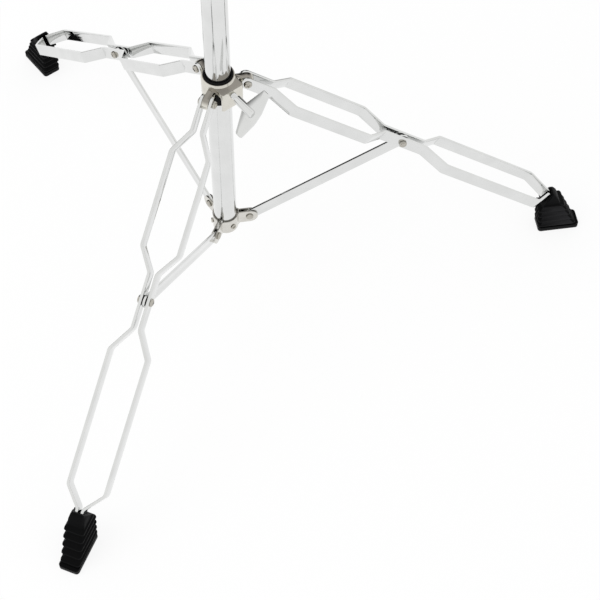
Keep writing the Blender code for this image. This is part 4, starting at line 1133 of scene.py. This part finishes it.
def wingNut(bore):
    outer, inner, height = nutShape["outer"], bore + nutShape["gap"], nutShape["height"]
    soft = nutShape["soft"]
    piece = turnOnLathe([(inner + soft, height), (outer * 0.74, height), (outer * 0.80, height - 0.0005),
                         (outer * 0.98, 0.0006), (outer * 0.94, 0), (inner + soft, 0), (inner, soft),
                         (inner, height - soft)], 48, ring=True)
    for side in (1, -1):
        line = wingLine(height * 0.25, height * 1.15, outer * 0.8, nutShape["span"])
        castWing(piece, [(x, side * y) for x, y in line], nutShape["span"], nutShape["thick"])
    return piece


fitPiece(castTilterBase(), "tilterBaseCasting", tiltPlace, "upper", "nickel", satinCasting, "tilter_base")
fitPiece(castTilterHead(), "tilterHeadCasting", tiltPlace, "tilt", "nickel", satinCasting, "tilter_head")
headLine = [(0, -0.01195), (0.0050, -0.01195), (0.0057, -0.0112), (0.0057, -0.00795),
            (boltRadius, -0.00795), (boltRadius, 0.0070)]
boltLine = headLine + threadLine(boltRadius, 0.0072, 0.0222) + [(0.0024, 0.02295), (0, 0.02295)]
fitPiece(turnOnLathe(boltLine, 40), "tilterBolt", tiltPlace @ outward, "upper", "chrome", platedBolt,
         "tilter_bolt")
fitPiece(wingNut(boltRadius), "tilterWingNut", tiltPlace @ moved(boltNutUp, 0, 0) @ outward, "tilter_nut",
         "chrome", brightChrome, "tilter_wing_nut")
plainLine = [(0, 0.0180), (rodRadius, 0.0180), (rodRadius, 0.0500)]
rodLine = plainLine + threadLine(rodRadius, 0.0505, 0.1072) + [(0.0030, 0.1080), (0, 0.1080)]
fitPiece(turnOnLathe(rodLine, 40), "cymbalRod", tiltPlace, "tilt", "chrome", brightChrome, "cymbal_rod")
cup = turnOnLathe([(0.0190, 0.0360), (0.0190, 0.0350), (0.0186, 0.0346), (0.0150, 0.0322), (0.01045, 0.0303),
                   (0.0043, 0.0303), (0.0043, 0.0319), (0.0095, 0.0319), (0.0140, 0.0336), (0.01767, 0.0363),
                   (0.0185, 0.0363)], 96, ring=True)
fitPiece(cup, "cupWasher", tiltPlace, "tilt", "chrome", brightChrome, "cup_washer")
sleeve = turnOnLathe([(0.0057, 0.0599), (0.0057, 0.0336), (0.00855, 0.0336), (0.00855, 0.0322),
                      (0.0043, 0.0322), (0.0043, 0.0599)], 48, ring=True)
fitPiece(sleeve, "rodSleeve", tiltPlace, "tilt", "black_plastic", blackNylon, "rod_sleeve")
feltLine = [(0.0060, 0.0118), (0.0090, 0.0120), (0.0170, 0.0120), (0.0187, 0.0115), (0.0194, 0.0100),
            (0.0196, 0.0060), (0.0194, 0.0020), (0.0187, 0.0005), (0.0170, 0), (0.0090, 0), (0.0060, 0.0002)]
for title, low, node in (("lowerFelt", 0.0366, "lower_felt"), ("upperFelt", 0.0489, "upper_felt")):
    felt = turnOnLathe([(radius, low + up) for radius, up in feltLine], 64, ring=True)
    fitPiece(felt, title, tiltPlace, "tilt", "felt", pressedFelt, node)
fitPiece(wingNut(rodRadius), "topWingNut", tiltPlace @ moved(0, 0, rodNutUp), "top_nut", "chrome",
         brightChrome, "top_wing_nut")
print("cymbal seat stacked")

# the solids that stay plain: tube end cap, clamp bushes and strut bushes, all black plastic

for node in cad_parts.values():
    if not node.hide_render:
        for spot in node.material_slots:
            spot.material = blackNylon

size = {"cad": [list(corner) for corner in cadBox], "visual": [list(corner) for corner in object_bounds()]}
